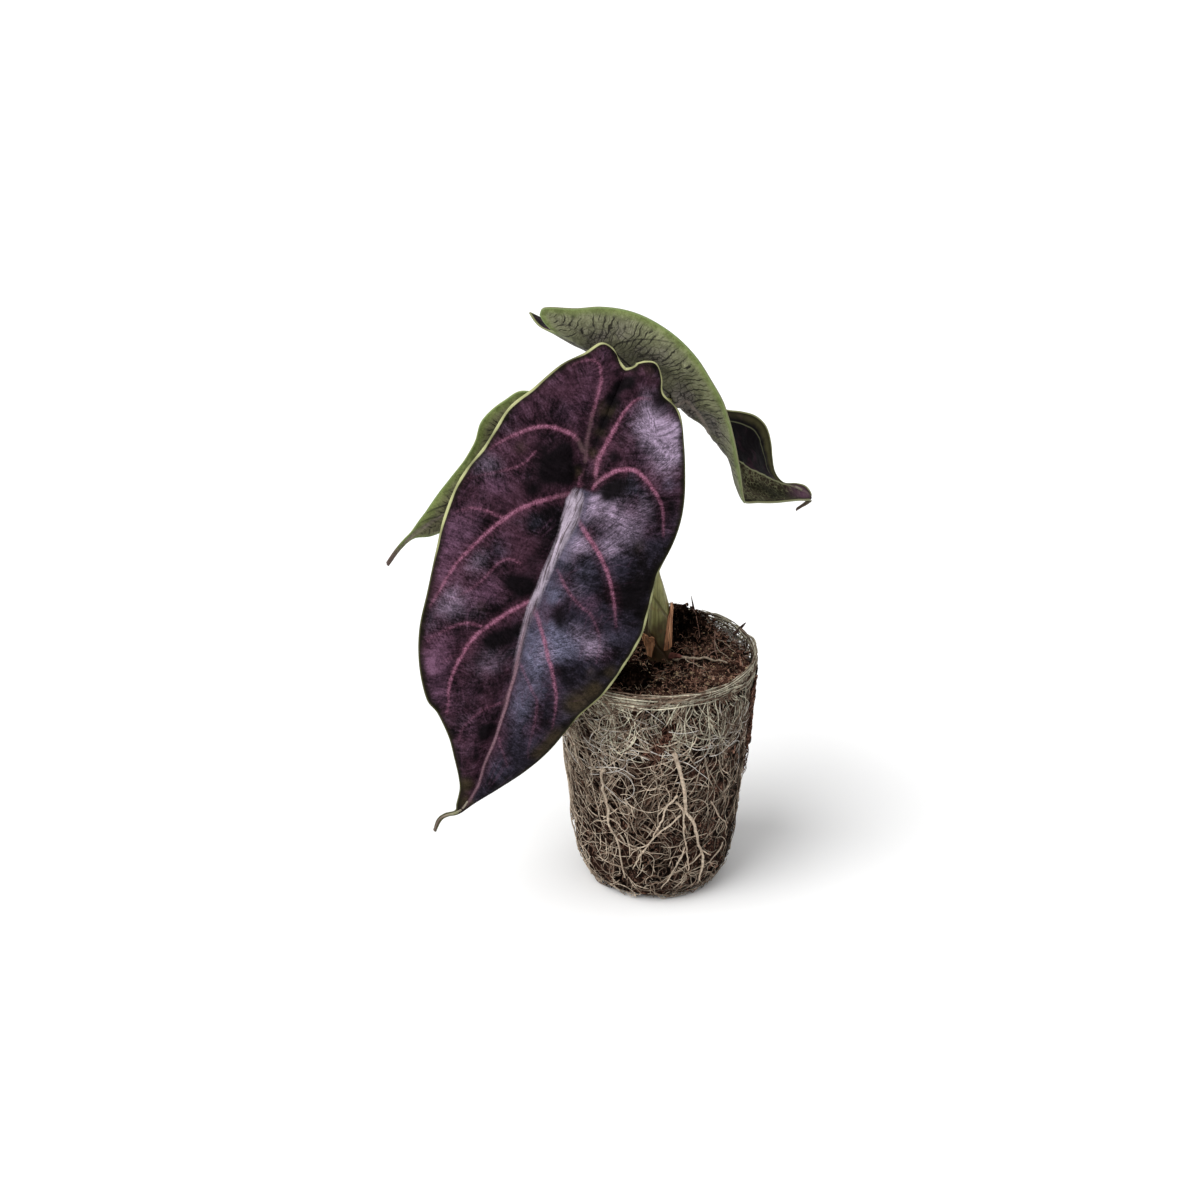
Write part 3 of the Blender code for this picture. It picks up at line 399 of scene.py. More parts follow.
def along(points, share):
    """Places at shares from 0 to 1 of a smooth line through the given points."""
    marks = np.asarray(points, float)
    last = len(marks) - 1
    x = np.clip(np.asarray(share, float), 0.0, 1.0) * last
    i = np.minimum(x.astype(int), last - 1)
    f = (x - i)[..., None]
    marks = np.vstack([2 * marks[0] - marks[1], marks, 2 * marks[-1] - marks[-2]])
    a, b, c, d = (marks[i + k] for k in range(4))
    bend, twist = 2 * a - 5 * b + 4 * c - d, 3 * b - a - 3 * c + d
    return 0.5 * (2 * b + (c - a) * f + bend * f ** 2 + twist * f ** 3)


def between(pairs, height):
    """Radius at a height, from pairs of radius and height."""
    return float(np.interp(height, [z for r, z in pairs], [r for r, z in pairs]))


def rim_rise(turn, height):
    """How far the net is drawn up towards its rim, at a direction in radians."""
    near_rim = np.clip((height - RIM_FOOT) / RIM_SPAN, 0.0, 1.0)
    return near_rim * (1.4 + 0.8 * np.cos(turn + radians(120.0)))


def on_plug(turn, height, lift):
    """Place on the side of the plug at a direction in degrees, lifted off the net's centre line."""
    radius = between(WEB_SIDE, height) + lift
    turn = radians(turn)
    rise = float(rim_rise(turn, height))
    return (radius * cos(turn) + between(LEAN, height), radius * sin(turn), height + rise)


def bump(x, y, spread):
    """Soft round bump that is 1 in its middle."""
    return exp(-(x ** 2 + y ** 2) / spread ** 2)


def soil_height(x, y):
    """Height of the top of the peat, heaped up at the back and sunk round the stem."""
    crumbs = noise.noise(Vector((x, y, 3.0)) * 0.22) + 0.5 * noise.noise(Vector((x, y, 8.0)) * 0.55)
    heap = HEAP_TALL * bump(x - HEAP_X, y - HEAP_Y, HEAP_SPREAD)
    sink = 2.2 * bump(x - STEM_X, y - STEM_Y, 9.0)
    collar = 1.7 * bump(x - STEM_X, y - STEM_Y + 3.0, 4.0)
    return PEAT_TOP + 1.1 * crumbs + heap - sink + collar


def patch_gap(turn, height):
    """Distance to the middle line of the bare patch on the front of the plug, with a ragged edge."""
    ends = (BARE_PATCH["top"], BARE_PATCH["foot"])
    first, last = (Vector((radians(angle) * PLUG_RADIUS, high)) for angle, high in ends)
    spot = Vector((radians((turn + 180.0) % 360.0 - 180.0) * PLUG_RADIUS, height))
    share = min(max((spot - first).dot(last - first) / (last - first).length_squared, 0.0), 1.0)
    ragged = noise.noise(Vector((spot.x, spot.y, 5.0)) * 0.45)
    return (spot - first.lerp(last, share)).length + 2.2 * ragged


def blade_places(blade, share, turn):
    """Places on a blade before its veins are pressed in."""
    spine = along(blade["middle"], share)
    on_left = (turn < 0)[:, None]
    out = np.where(on_left, along(blade["left"], share), along(blade["right"], share)) - spine
    ahead = along(blade["middle"], share + 0.02) - along(blade["middle"], share - 0.02)
    upward = np.cross(ahead, out) * np.where(on_left, -1.0, 1.0)
    upward /= np.linalg.norm(upward, axis=1)[:, None]
    across = np.abs(turn)
    fade = np.minimum(1.0, np.linalg.norm(out, axis=1) / 12.0)
    cup = np.where(turn < 0, *blade["cups"])
    rise = cup * 4.0 * across * (1.0 - across)
    rise += blade["ripple"] * across ** 3 * np.sin(2.0 * pi * (3.0 * share + 0.35 * turn))
    return np.array(blade["joint"]) + spine + out * across[:, None] + upward * (rise * fade)[:, None]


def on_blade(blade, line, steps=8):
    """Line on a blade through places given as share and turn."""
    spots = along(line, np.linspace(0.0, 1.0, steps * (len(line) - 1) + 1))
    return blade_places(blade, spots[:, 0], spots[:, 1])


def nearest(places, lines):
    """Distance from each place to the nearest line, how far along that line it is, and which line it is."""
    marks, runs, numbers = [], [], []
    for number, line in enumerate(lines):
        lengths = np.linalg.norm(np.diff(line, axis=0), axis=1)
        run = np.concatenate([[0.0], np.cumsum(lengths)])
        fine = np.linspace(0.0, run[-1], max(2, ceil(run[-1] / 0.15)))
        marks.append(np.column_stack([np.interp(fine, run, line[:, axis]) for axis in range(3)]))
        runs.append(fine)
        numbers.append(np.full(len(fine), number))
    marks, runs, numbers = map(np.concatenate, (marks, runs, numbers))
    tree = kdtree.KDTree(len(marks))
    for k, mark in enumerate(marks):
        tree.insert(mark, k)
    tree.balance()
    found = [tree.find(place) for place in places]
    picked = np.array([index for spot, index, gap in found])
    return np.array([gap for spot, index, gap in found]), runs[picked], numbers[picked]


def side_veins(blade, veins, seed):
    """Fine veins that leave both sides of each vein and bend towards the margin."""
    chance = random.Random(seed)
    size = (BLADE_LENGTH, BLADE_HALF)
    lines = []
    for strength, marks in veins:
        dense = along(marks, np.linspace(0.0, 1.0, 60)) * size
        run = np.concatenate([[0.0], np.cumsum(np.linalg.norm(np.diff(dense, axis=0), axis=1))])
        place = 2.0
        while place < run[-1]:
            k = int(np.searchsorted(run, place))
            k = min(max(k, 1), len(dense) - 1)
            heading = degrees(atan2(*(dense[k] - dense[k - 1])[::-1]))
            for side in (-1, 1):
                angle = heading + side * chance.uniform(48, 78)
                spot = dense[k].copy()
                line = [tuple(spot)]
                for step in range(chance.randint(4, 9)):
                    spot = spot + 1.25 * np.array((cos(radians(angle)), sin(radians(angle))))
                    if abs(spot[1]) > 0.97 * BLADE_HALF or not 0.02 < spot[0] / BLADE_LENGTH < 0.97:
                        break
                    line.append(tuple(spot))
                    angle += chance.uniform(-9, 9) - side * 5.0
                if len(line) > 2:
                    marks_on = np.array(line) / size
                    lines.append(blade_places(blade, marks_on[:, 0], marks_on[:, 1]))
            place += chance.uniform(2.2, 3.6)
    return lines


def soft_spots(blade, places, spots):
    """Sum of soft round places on a blade, each a share, a turn, a radius and a strength."""
    total = np.zeros(len(places))
    for share, turn, radius, strength in spots:
        centre = blade_places(blade, np.array([share]), np.array([turn]))[0]
        total += strength * np.exp(-((places - centre) ** 2).sum(1) / radius ** 2)
    return np.clip(total, 0.0, 1.0)


def crumple(places, size, seed):
    """Smooth noise from about -1 to 1 at each place."""
    return np.array([noise.noise(Vector(p) / size + Vector((seed, 0.0, 0.0))) for p in places])


def blade_normals(blade, share, turn):
    """Directions that point straight off the upper face of a blade."""
    step = 0.004
    down = blade_places(blade, np.minimum(share + step, 1.0), turn)
    down -= blade_places(blade, np.maximum(share - step, 0.0), turn)
    over = blade_places(blade, share, np.minimum(turn + step, 1.0))
    over -= blade_places(blade, share, np.maximum(turn - step, -1.0))
    normal = np.cross(down, over)
    return normal / np.linalg.norm(normal, axis=1)[:, None]


def blade_layers(blade, base, veins, rib, seed):
    """Distances on a blade from its veins, midrib, fine veins and margin, with the strength of the veins."""
    vein_lines = [on_blade(blade, marks) for strength, marks in veins]
    vein_gap, vein_run, which = nearest(base, vein_lines)
    spans = np.array([np.linalg.norm(np.diff(line, axis=0), axis=1).sum() for line in vein_lines])
    strengths = np.array([strength for strength, marks in veins])
    force = strengths[which] * (1.0 - 0.7 * (vein_run / spans[which]) ** 1.4)
    rib_gap, rib_run, _ = nearest(base, [on_blade(blade, rib)])
    small_gap, _, _ = nearest(base, side_veins(blade, veins + [(0.5, rib)], seed))
    border = np.linspace(0.0, 1.0, 300)
    rim = [blade_places(blade, border, np.full(300, side)) for side in (-1.0, 1.0)]
    rim.append(blade_places(blade, np.zeros(40), np.linspace(-1.0, 1.0, 40)))
    edge_gap, edge_run, _ = nearest(base, rim)
    return {
        "vein_gap": vein_gap, "vein_run": vein_run, "vein_force": force, "rib_gap": rib_gap,
        "rib_run": rib_run, "small_gap": small_gap, "edge_gap": edge_gap, "edge_run": edge_run,
    }


def blade_relief(layers, base, share, turn, groove, seed):
    """Height of a blade's face over its plain form: sunk veins, a sunk midrib with a ridge, and creases."""
    vein_gap, force, rib_gap = layers["vein_gap"], layers["vein_force"], layers["rib_gap"]
    rib_force = 1.0 - 0.7 * layers["rib_run"] / layers["rib_run"].max()
    rise = -2.6 * groove * force * np.exp(-(vein_gap / 3.4) ** 2)
    rise += groove * force * (0.9 * np.exp(-(vein_gap / 0.8) ** 2) - np.exp(-(vein_gap / 1.4) ** 2))
    rise += rib_force * (0.6 * np.exp(-(rib_gap / 1.3) ** 2) - 0.9 * np.exp(-(rib_gap / 4.0) ** 2))
    rise += -0.12 * np.exp(-(layers["small_gap"] / 0.6) ** 2)
    rise += 0.5 * crumple(base, 9.0, seed) + 0.16 * crumple(base, 3.2, seed + 5)
    near_edge = np.clip(layers["edge_gap"] / 3.0, 0.0, 1.0)
    return rise * near_edge * np.where(share < 0.27, np.clip(4.0 * np.abs(turn), 0.1, 1.0), 1.0)


def blade_object(name, blade, look, veins, rib, grid, seed, spots, pale=0.35):
    """Leaf blade with pressed-in veins, its veins and margin kept as attributes for the finish."""
    work = bmesh.new()
    bmesh.ops.create_grid(work, x_segments=grid[0], y_segments=grid[1], size=1.0)
    flat = np.array([v.co for v in work.verts])
    turn, share = flat[:, 0], 0.5 * (1.0 - flat[:, 1])
    base = blade_places(blade, share, turn)
    layers = blade_layers(blade, base, veins, rib, seed)
    rise = blade_relief(layers, base, share, turn, look.groove_depth / MM, seed) + 0.2
    shaped = base + blade_normals(blade, share, turn) * rise[:, None]

    side_of_rib = np.sign(turn - np.interp(share, *zip(*rib)))
    layers.update(share=share, turn=turn, pale=np.full(len(base), pale))
    layers["rib_side"] = layers["rib_gap"] * side_of_rib
    for mark, table in spots.items():
        layers[mark] = soft_spots(blade, base, table)
    for mark, values in layers.items():
        layer = work.verts.layers.float.new(mark)
        for vertex, value in zip(work.verts, values):
            vertex[layer] = value
    for vertex, place in zip(work.verts, shaped * MM):
        vertex.co = place
    uv = work.loops.layers.uv.new("blade")
    for face in work.faces:
        for loop in face.loops:
            i = loop.vert.index
            loop[uv].uv = (0.5 + 0.5 * turn[i], 1.0 - share[i])
    obj = new_object(name, work)
    thick = thickened(obj, look.thickness, -1.0)
    thick.material_offset = 1
    thick.material_offset_rim = 2
    return obj


def new_object(name, work):
    """Object in the scene from a bmesh, which is freed."""
    mesh = bpy.data.meshes.new(name)
    work.to_mesh(mesh)
    work.free()
    mesh.shade_smooth()
    obj = bpy.data.objects.new(name, mesh)
    bpy.context.scene.collection.objects.link(obj)
    return obj


def thickened(obj, thickness, offset):
    """Gives a sheet its thickness, below it at an offset of -1 and to both sides at 0."""
    thick = obj.modifiers.new("thickness", "SOLIDIFY")
    thick.thickness = thickness
    thick.offset = offset
    return thick


def worked_in(obj):
    """The same object with its modifiers worked into its mesh."""
    bpy.context.view_layer.update()
    seen = obj.evaluated_get(bpy.context.evaluated_depsgraph_get())
    mesh = bpy.data.meshes.new_from_object(seen)
    made = bpy.data.objects.new(obj.name + "_made", mesh)
    name = obj.name
    bpy.data.objects.remove(obj, do_unlink=True)
    made.name = name
    mesh.name = name
    bpy.context.scene.collection.objects.link(made)
    return made


def tubes(name, lines, skins, sides=4):
    """Round tubes in one mesh that take turns at the finishes; a line is steps of radius and place."""
    curve = bpy.data.curves.new(name, "CURVE")
    curve.dimensions = "3D"
    curve.bevel_depth = MM
    curve.bevel_resolution = sides // 2 - 2
    curve.use_fill_caps = True
    for skin in skins:
        curve.materials.append(skin)
    for number, line in enumerate(lines):
        spline = curve.splines.new("POLY")
        spline.material_index = number % len(skins)
        spline.points.add(len(line) - 1)
        table = np.ones((len(line), 4))
        table[:, :3] = np.array([place for radius, place in line]) * MM
        spline.points.foreach_set("co", table.ravel())
        spline.points.foreach_set("radius", np.array([radius for radius, place in line], float))
    holder = bpy.data.objects.new(name, curve)
    bpy.context.scene.collection.objects.link(holder)
    made = worked_in(holder)
    bpy.data.curves.remove(curve)
    work = bmesh.new()
    work.from_mesh(made.data)
    bmesh.ops.remove_doubles(work, verts=work.verts, dist=0.000001)
    bmesh.ops.recalc_face_normals(work, faces=work.faces)
    work.to_mesh(made.data)
    work.free()
    made.data.shade_smooth()
    return made


def shaded(obj):
    """Stores on each point of a root a share of painted shade from 0 to 1: how far it sinks behind the outer
    roots, more on the right of the plug and less on its left, most of all low down, and a quarter of it
    inside the rim.
    """
    spots = np.empty(3 * len(obj.data.vertices))
    obj.data.vertices.foreach_get("co", spots)
    x, y, z = (spots / MM).reshape(-1, 3).T
    z = z - rim_rise(np.arctan2(y, x), z)
    centre = np.interp(z, [high for shift, high in LEAN], [shift for shift, high in LEAN])
    reach = np.interp(z, [high for wide, high in WEB_SIDE], [wide for wide, high in WEB_SIDE])
    lift = np.hypot(x - centre, y) - reach
    # Painted shade: roots on the right of the plug are drawn darker and those on its left lighter, most of
    # all low down.
    stain_and_side_shade = x / PLUG_RADIUS * (0.2 + 0.25 * np.clip((40.0 - z) / 30.0, 0.0, 1.0))
    inside_rim = (z > 69.5) | ((y > 4.0) & (z > 64.0))
    sunk = np.clip((0.4 - lift) / 0.9 + stain_and_side_shade, 0.0, 1.0) * np.where(inside_rim, 0.25, 1.0)
    layer = obj.data.attributes.new("sunken", "FLOAT", "POINT")
    layer.data.foreach_set("value", sunk)
    return obj


def stepped(bends, count):
    """Smooth steps along bends that are given as a radius and a place."""
    table = along([(radius, *place) for radius, place in bends], np.linspace(0.0, 1.0, count + 1))
    return [(row[0], tuple(row[1:])) for row in table]


def settled(obj, slot, skins, *nodes):
    """Hands a finished piece to the frame: it rides on the plant and stands for the named solids."""
    for skin in skins:
        obj.data.materials.append(skin)
    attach(obj, "root")
    if nodes:
        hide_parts(*nodes)
    return obj


# Finishes

class Finish:
    """Procedural finish of one surface, put together node by node."""

    def __init__(self, name):
        self.material = bpy.data.materials.new(name)
        self.material.use_nodes = True
        self.nodes = self.material.node_tree.nodes
        self.links = self.material.node_tree.links
        self.shader = self.nodes["Principled BSDF"]
        self.place = self.nodes.new("ShaderNodeTexCoord").outputs["Object"]

    def feed(self, socket, value):
        """Links a socket to another one, or sets it to a plain value or colour."""
        if isinstance(value, bpy.types.NodeSocket):
            self.links.new(value, socket)
        elif socket.type == "RGBA":
            socket.default_value = (*value, 1.0) if len(value) == 3 else value
        else:
            socket.default_value = value

    def add(self, kind, feeds, result, **settings):
        """New node with its settings and fed sockets, given as the socket of its result."""
        node = self.nodes.new("ShaderNode" + kind)
        for key, value in settings.items():
            setattr(node, key, value)
        for key, value in feeds.items():
            self.feed(node.inputs[key], value)
        return node.outputs[result]

    def attribute(self, name):
        """Value that the mesh holds under a name."""
        return self.add("Attribute", {}, "Fac", attribute_name=name)

    def spread(self, vector, scale, turn=(0.0, 0.0, 0.0)):
        """A vector turned, then scaled on each axis."""
        feeds = {"Vector": vector, "Scale": scale, "Rotation": turn}
        return self.add("Mapping", feeds, "Vector")

    def vector(self, x, y, z=0.0):
        return self.add("CombineXYZ", {"X": x, "Y": y, "Z": z}, "Vector")

    def on_axis(self, axis, place=None):
        """Part of a place on one axis."""
        return self.add("SeparateXYZ", {"Vector": place or self.place}, axis)

    def noise(self, scale, detail=3.0, roughness=0.55, vector=None, distortion=0.0):
        """Smooth noise from 0 to 1."""
        feeds = {"Vector": vector or self.place, "Scale": scale, "Detail": detail, "Roughness": roughness,
                 "Distortion": distortion}
        return self.add("TexNoise", feeds, "Fac")

    def grains(self, scale, roughness):
        """Keeps large blotches, a mottle and a fine grain that the steps of a finish share."""
        self.blotch = self.noise(scale, 4.0, roughness)
        self.mottle = self.noise(420.0, 3.0, 0.65)
        self.grain = self.noise(2300.0, 2.0, 0.7)

    def cells(self, scale, vector=None, feature="DISTANCE_TO_EDGE"):
        """Distance to the edge or the middle of uneven cells."""
        feeds = {"Vector": vector or self.place, "Scale": scale}
        return self.add("TexVoronoi", feeds, "Distance", feature=feature)

    def sums(self, operation, a, b=0.0):
        """Result of a sum with one or two values."""
        return self.add("Math", {0: a, 1: b}, 0, operation=operation)

    def times(self, a, b):
        return self.sums("MULTIPLY", a, b)

    def plus(self, a, b):
        return self.sums("ADD", a, b)

    def fade(self, value, start, end, low=0.0, high=1.0):
        """Smooth step of a value from low at start to high at end."""
        feeds = {0: value, 1: start, 2: end, 3: low, 4: high}
        return self.add("MapRange", feeds, 0, interpolation_type="SMOOTHSTEP")

    def mix(self, share, a, b):
        """Colour between two colours, the second one at a share of 1."""
        return self.add("Mix", {0: share, 6: a, 7: b}, 2, data_type="RGBA")

    def scaled(self, tone, factor):
        """The same colour made lighter or darker by a factor."""
        return self.add("VectorMath", {0: tone, "Scale": factor}, "Vector", operation="SCALE")

    def plus_vector(self, vector, shift):
        """A vector moved by the same amount on each axis."""
        return self.add("VectorMath", {0: vector, 1: shift}, "Vector", operation="ADD")

    def bump(self, height, distance, strength=1.0):
        """Surface direction bent by a height."""
        feeds = {"Height": height, "Distance": distance, "Strength": strength}
        return self.add("Bump", feeds, "Normal")

    def finish(self, colour, roughness, normal=None, **sockets):
        """The finished material, with values for further sockets of its shader."""
        self.feed(self.shader.inputs["Base Color"], colour)
        self.feed(self.shader.inputs["Roughness"], roughness)
        if normal:
            self.feed(self.shader.inputs["Normal"], normal)
        for key, value in sockets.items():
            self.feed(self.shader.inputs[key.replace("_", " ")], value)
        return self.material


def made_once(make):
    """Has a finish made when its name first comes up, and found again after that."""
    @wraps(make)
    def found(name, *facts):
        return bpy.data.materials.get(name) or make(name, *facts)
    return found


def velvet(f, look):
    """Near-black ground with plum and slate halves, mauve blush, soft patches of painted sheen with the
    streaks of its nap, and painted shade.
    """
    small, run, vein = f.attribute("small_gap"), f.attribute("vein_run"), f.attribute("vein_gap")

    def patch(mark):
        return f.fade(f.plus(f.attribute(mark), f.times(f.rough_edge, 0.65)), 0.0, 1.1)

    slate = f.times(f.fade(f.attribute("turn"), 0.0, 0.35), f.fade(f.attribute("share"), 0.3, 0.42))
    body = f.mix(slate, look.plum_colour, look.slate_colour)
    ground = f.fade(f.plus(f.blotch, f.times(f.rough_edge, 0.25)), 0.36, 0.66)
    body = f.mix(ground, look.dark_colour, body)
    body = f.mix(patch("blush"), body, look.blush_colour)
    # Painted sheen: patches of blue-grey and lilac sheen laid over the ground.
    body = f.mix(patch("satin"), body, look.blue_sheen_colour)
    body = f.mix(patch("sheen"), body, look.sheen_colour)
    body = f.mix(f.fade(f.attribute("olive"), 0.05, 0.85), body, look.olive_colour)
    fine = f.times(f.fade(small, 0.4, 0.05), f.fade(f.noise(170.0, 2.0), 0.42, 0.68))
    body = f.mix(f.times(fine, 0.22), body, look.blush_colour)
    # Painted shade: near-black where the blade dips.
    body = f.mix(f.fade(f.attribute("hollow"), 0.1, 0.8, 0.0, 0.97), body, look.dark_colour)
    body = f.scaled(body, f.fade(f.weave, 0.37, 0.63, 0.42, 1.62))
    # Painted highlight: the streaks of the nap lighten and darken the blade only where the painted sheen
    # lies.
    hairs = f.noise(1.0, 3.0, 0.7, f.vector(f.times(run, 3.4), f.times(vein, 0.5), 3.0), 0.3)
    bloom = f.fade(f.plus(f.attribute("sheen"), f.times(f.attribute("satin"), 0.6)), 0.05, 0.7)
    return f.scaled(body, f.plus(1.0, f.times(bloom, f.fade(hairs, 0.38, 0.64, -0.4, 0.5))))


def veined(f, look, body):
    """Magenta veins with a pink grain and a glow beside them, dull close to the joint."""
    vein, force = f.attribute("vein_gap"), f.attribute("vein_force")
    bright = f.sums("SUBTRACT", 1.0, f.times(f.attribute("dull"), 0.9))
    glow = f.times(f.times(f.fade(vein, 3.0, 0.3), force), f.fade(f.weave, 0.4, 0.6, 0.05, 0.6))
    body = f.mix(f.times(f.times(glow, 0.4), bright), body, look.vein_colour)
    width = f.plus(f.times(force, 0.5), f.times(f.rough_edge, 0.9))
    line = f.fade(f.sums("SUBTRACT", vein, width), 0.6, -0.3)
    speckle = f.fade(f.plus(f.grain, f.times(f.mottle, 0.5)), 0.62, 0.9)
    pink = f.mix(f.times(f.fade(vein, 0.9, 0.1), speckle), look.vein_colour, look.vein_light)
    pink = f.mix(bright, look.dull_vein, f.scaled(pink, f.fade(f.weave, 0.38, 0.62, 0.65, 1.25)))
    return f.mix(f.times(line, f.fade(force, 0.1, 0.75, 0.12, 0.9)), body, pink)


def ribbed(f, look, body):
    """Silver midrib that turns pinkish lower down, with a painted blue-grey sheen on its right and painted
    light and shade across it; gives its line too.
    """
    rib, rib_run, beside = f.attribute("rib_gap"), f.attribute("rib_run"), f.attribute("rib_side")
    # Painted sheen: a blue-grey wash beside the midrib, broken into streaks.
    rib_sheen = f.times(f.fade(beside, -0.6, 0.3), f.fade(rib_run, 78.0, 20.0))
    rib_sheen = f.times(f.fade(beside, 6.5, 0.8), rib_sheen)
    sheen_streaks = f.fade(f.plus(f.weave, f.times(f.ridge, 0.4)), 0.62, 0.8, 0.3, 0.85)
    rib_sheen = f.times(rib_sheen, f.times(f.fade(rib_run, 0.0, 1.2), sheen_streaks))
    body = f.mix(rib_sheen, body, look.blue_sheen_colour)
    width = f.plus(f.fade(rib_run, 4.0, 26.0, 1.9, 0.85), f.fade(rib_run, 26.0, 85.0, 0.0, -0.5))
    width = f.plus(width, f.fade(rib_run, 0.0, 5.0, -1.1, 0.0))
    line = f.fade(f.plus(f.sums("SUBTRACT", rib, width), f.times(f.rough_edge, -0.7)), 0.7, -0.5)
    line = f.times(line, f.fade(f.plus(rib_run, f.times(f.rough_edge, 1.5)), 0.0, 2.2))
    silver = f.mix(f.fade(f.ridge, 0.36, 0.56), look.rib_dark, look.rib_colour)
    # Painted light: the midrib is drawn lighter on its left side and darker on its right.
    lit_side = f.fade(beside, -1.2, 1.6, 1.25, 0.6)
    silver = f.scaled(silver, f.times(lit_side, f.fade(f.weave, 0.38, 0.62, 0.75, 1.2)))
    low = f.mix(f.fade(rib, 0.15, 0.75), look.rib_low, look.plum_colour)
    low = f.scaled(low, f.fade(f.grain, 0.3, 0.7, 0.7, 1.3))
    skin = f.mix(f.fade(rib_run, 26.0, 62.0), silver, low)
    return f.mix(f.times(line, f.fade(rib_run, 75.0, 112.0, 0.95, 0.2)), body, skin), line


def turned_end(f, look, body):
    """Twisted end of the back blade: a netted brown half, a black half with a thin line, and a blush."""
    edge, share = f.attribute("edge_gap"), f.attribute("share")
    turned = f.fade(f.plus(share, f.times(f.rough_edge, 0.06)), 0.34, 0.52)
    net = f.fade(f.cells(760.0, f.plus_vector(f.place, f.times(f.mottle, 0.0016))), 0.14, 0.02)
    net = f.times(net, f.fade(f.plus(f.blotch, f.mottle), 0.8, 1.15, 0.1, 0.75))
    brown = f.mix(f.fade(f.blotch, 0.35, 0.55), look.olive_dark, look.olive_colour)
    brown = f.mix(f.times(net, 0.6), brown, look.under_light)
    black = f.mix(f.times(f.fade(f.blotch, 0.5, 0.66), 0.6), look.dark_colour, look.plum_colour)
    band = f.fade(f.plus(edge, f.times(f.mottle, 2.0)), 5.0, 2.0)
    black = f.mix(f.times(band, f.fade(share, 0.5, 0.68, 0.15, 0.7)), black, look.under_olive)
    thin = f.fade(f.sums("ABSOLUTE", f.sums("SUBTRACT", edge, 4.4)), 0.35, 0.08)
    black = f.mix(f.times(thin, 0.28), black, look.under_light)
    inner = f.mix(f.fade(f.attribute("rib_side"), -0.4, 0.4), brown, black)
    inner = f.mix(f.times(f.fade(f.attribute("rib_gap"), 0.6, 0.2), 0.7), inner, look.under_light)
    inner = f.mix(f.times(f.fade(share, 0.76, 0.87), 0.75), inner, look.blush_colour)
    return f.mix(turned, body, inner)


def margined(f, look, body):
    """Brown tip, a dark olive band inside the margin, and the thin pale line of the margin itself."""
    edge, pale = f.attribute("edge_gap"), f.attribute("pale")
    body = f.mix(f.fade(f.attribute("share"), 0.86, 0.97), body, look.tip_colour)
    body = f.mix(f.times(f.fade(edge, 2.2, 0.5), 0.75), body, look.olive_dark)
    line_colour = f.mix(pale, look.margin_dull, look.margin_colour)
    line_gap = f.sums("SUBTRACT", edge, f.plus(f.times(pale, 0.4), f.times(f.rough_edge, 0.14)))
    return f.mix(f.fade(line_gap, 0.5, 0.2), body, line_colour)


@made_once
def upper_finish(name, look, turned=False):
    """Near-black velvety upper face with magenta veins, painted lilac sheen, painted shade and a pale
    margin.
    """
    f = Finish(name)
    vein, run = f.attribute("vein_gap"), f.attribute("vein_run")
    edge, edge_run = f.attribute("edge_gap"), f.attribute("edge_run")
    f.grains(95.0, 0.62)
    streak = f.noise(1.0, 3.0, 0.65, f.vector(f.times(run, 1.7), f.times(vein, 0.4)), 0.35)
    comb = f.noise(1.0, 3.0, 0.7, f.vector(f.times(edge_run, 1.1), f.times(edge, 0.13), 4.0), 0.5)
    f.weave = f.plus(f.times(f.mottle, 0.2), f.times(comb, 0.24))
    f.weave = f.plus(f.times(f.grain, 0.26), f.plus(f.times(streak, 0.3), f.weave))
    f.rough_edge = f.times(f.sums("SUBTRACT", f.weave, 0.5), 1.7)
    lengthwise = f.vector(f.times(f.attribute("turn"), 58.0), f.times(f.attribute("share"), 20.0))
    f.ridge = f.noise(1.0, 3.0, 0.7, lengthwise, 0.2)

    body, rib_line = ribbed(f, look, veined(f, look, velvet(f, look)))
    if turned:
        body = turned_end(f, look, body)
    body = margined(f, look, body)
    fine = f.times(f.fade(f.attribute("small_gap"), 0.5, 0.0), -0.4)
    height = f.plus(f.plus(f.times(f.weave, 1.2), fine), f.times(f.times(f.ridge, rib_line), 0.8))
    return f.finish(body, 0.6, f.bump(height, 0.00012, 0.6), Specular_IOR_Level=0.02)


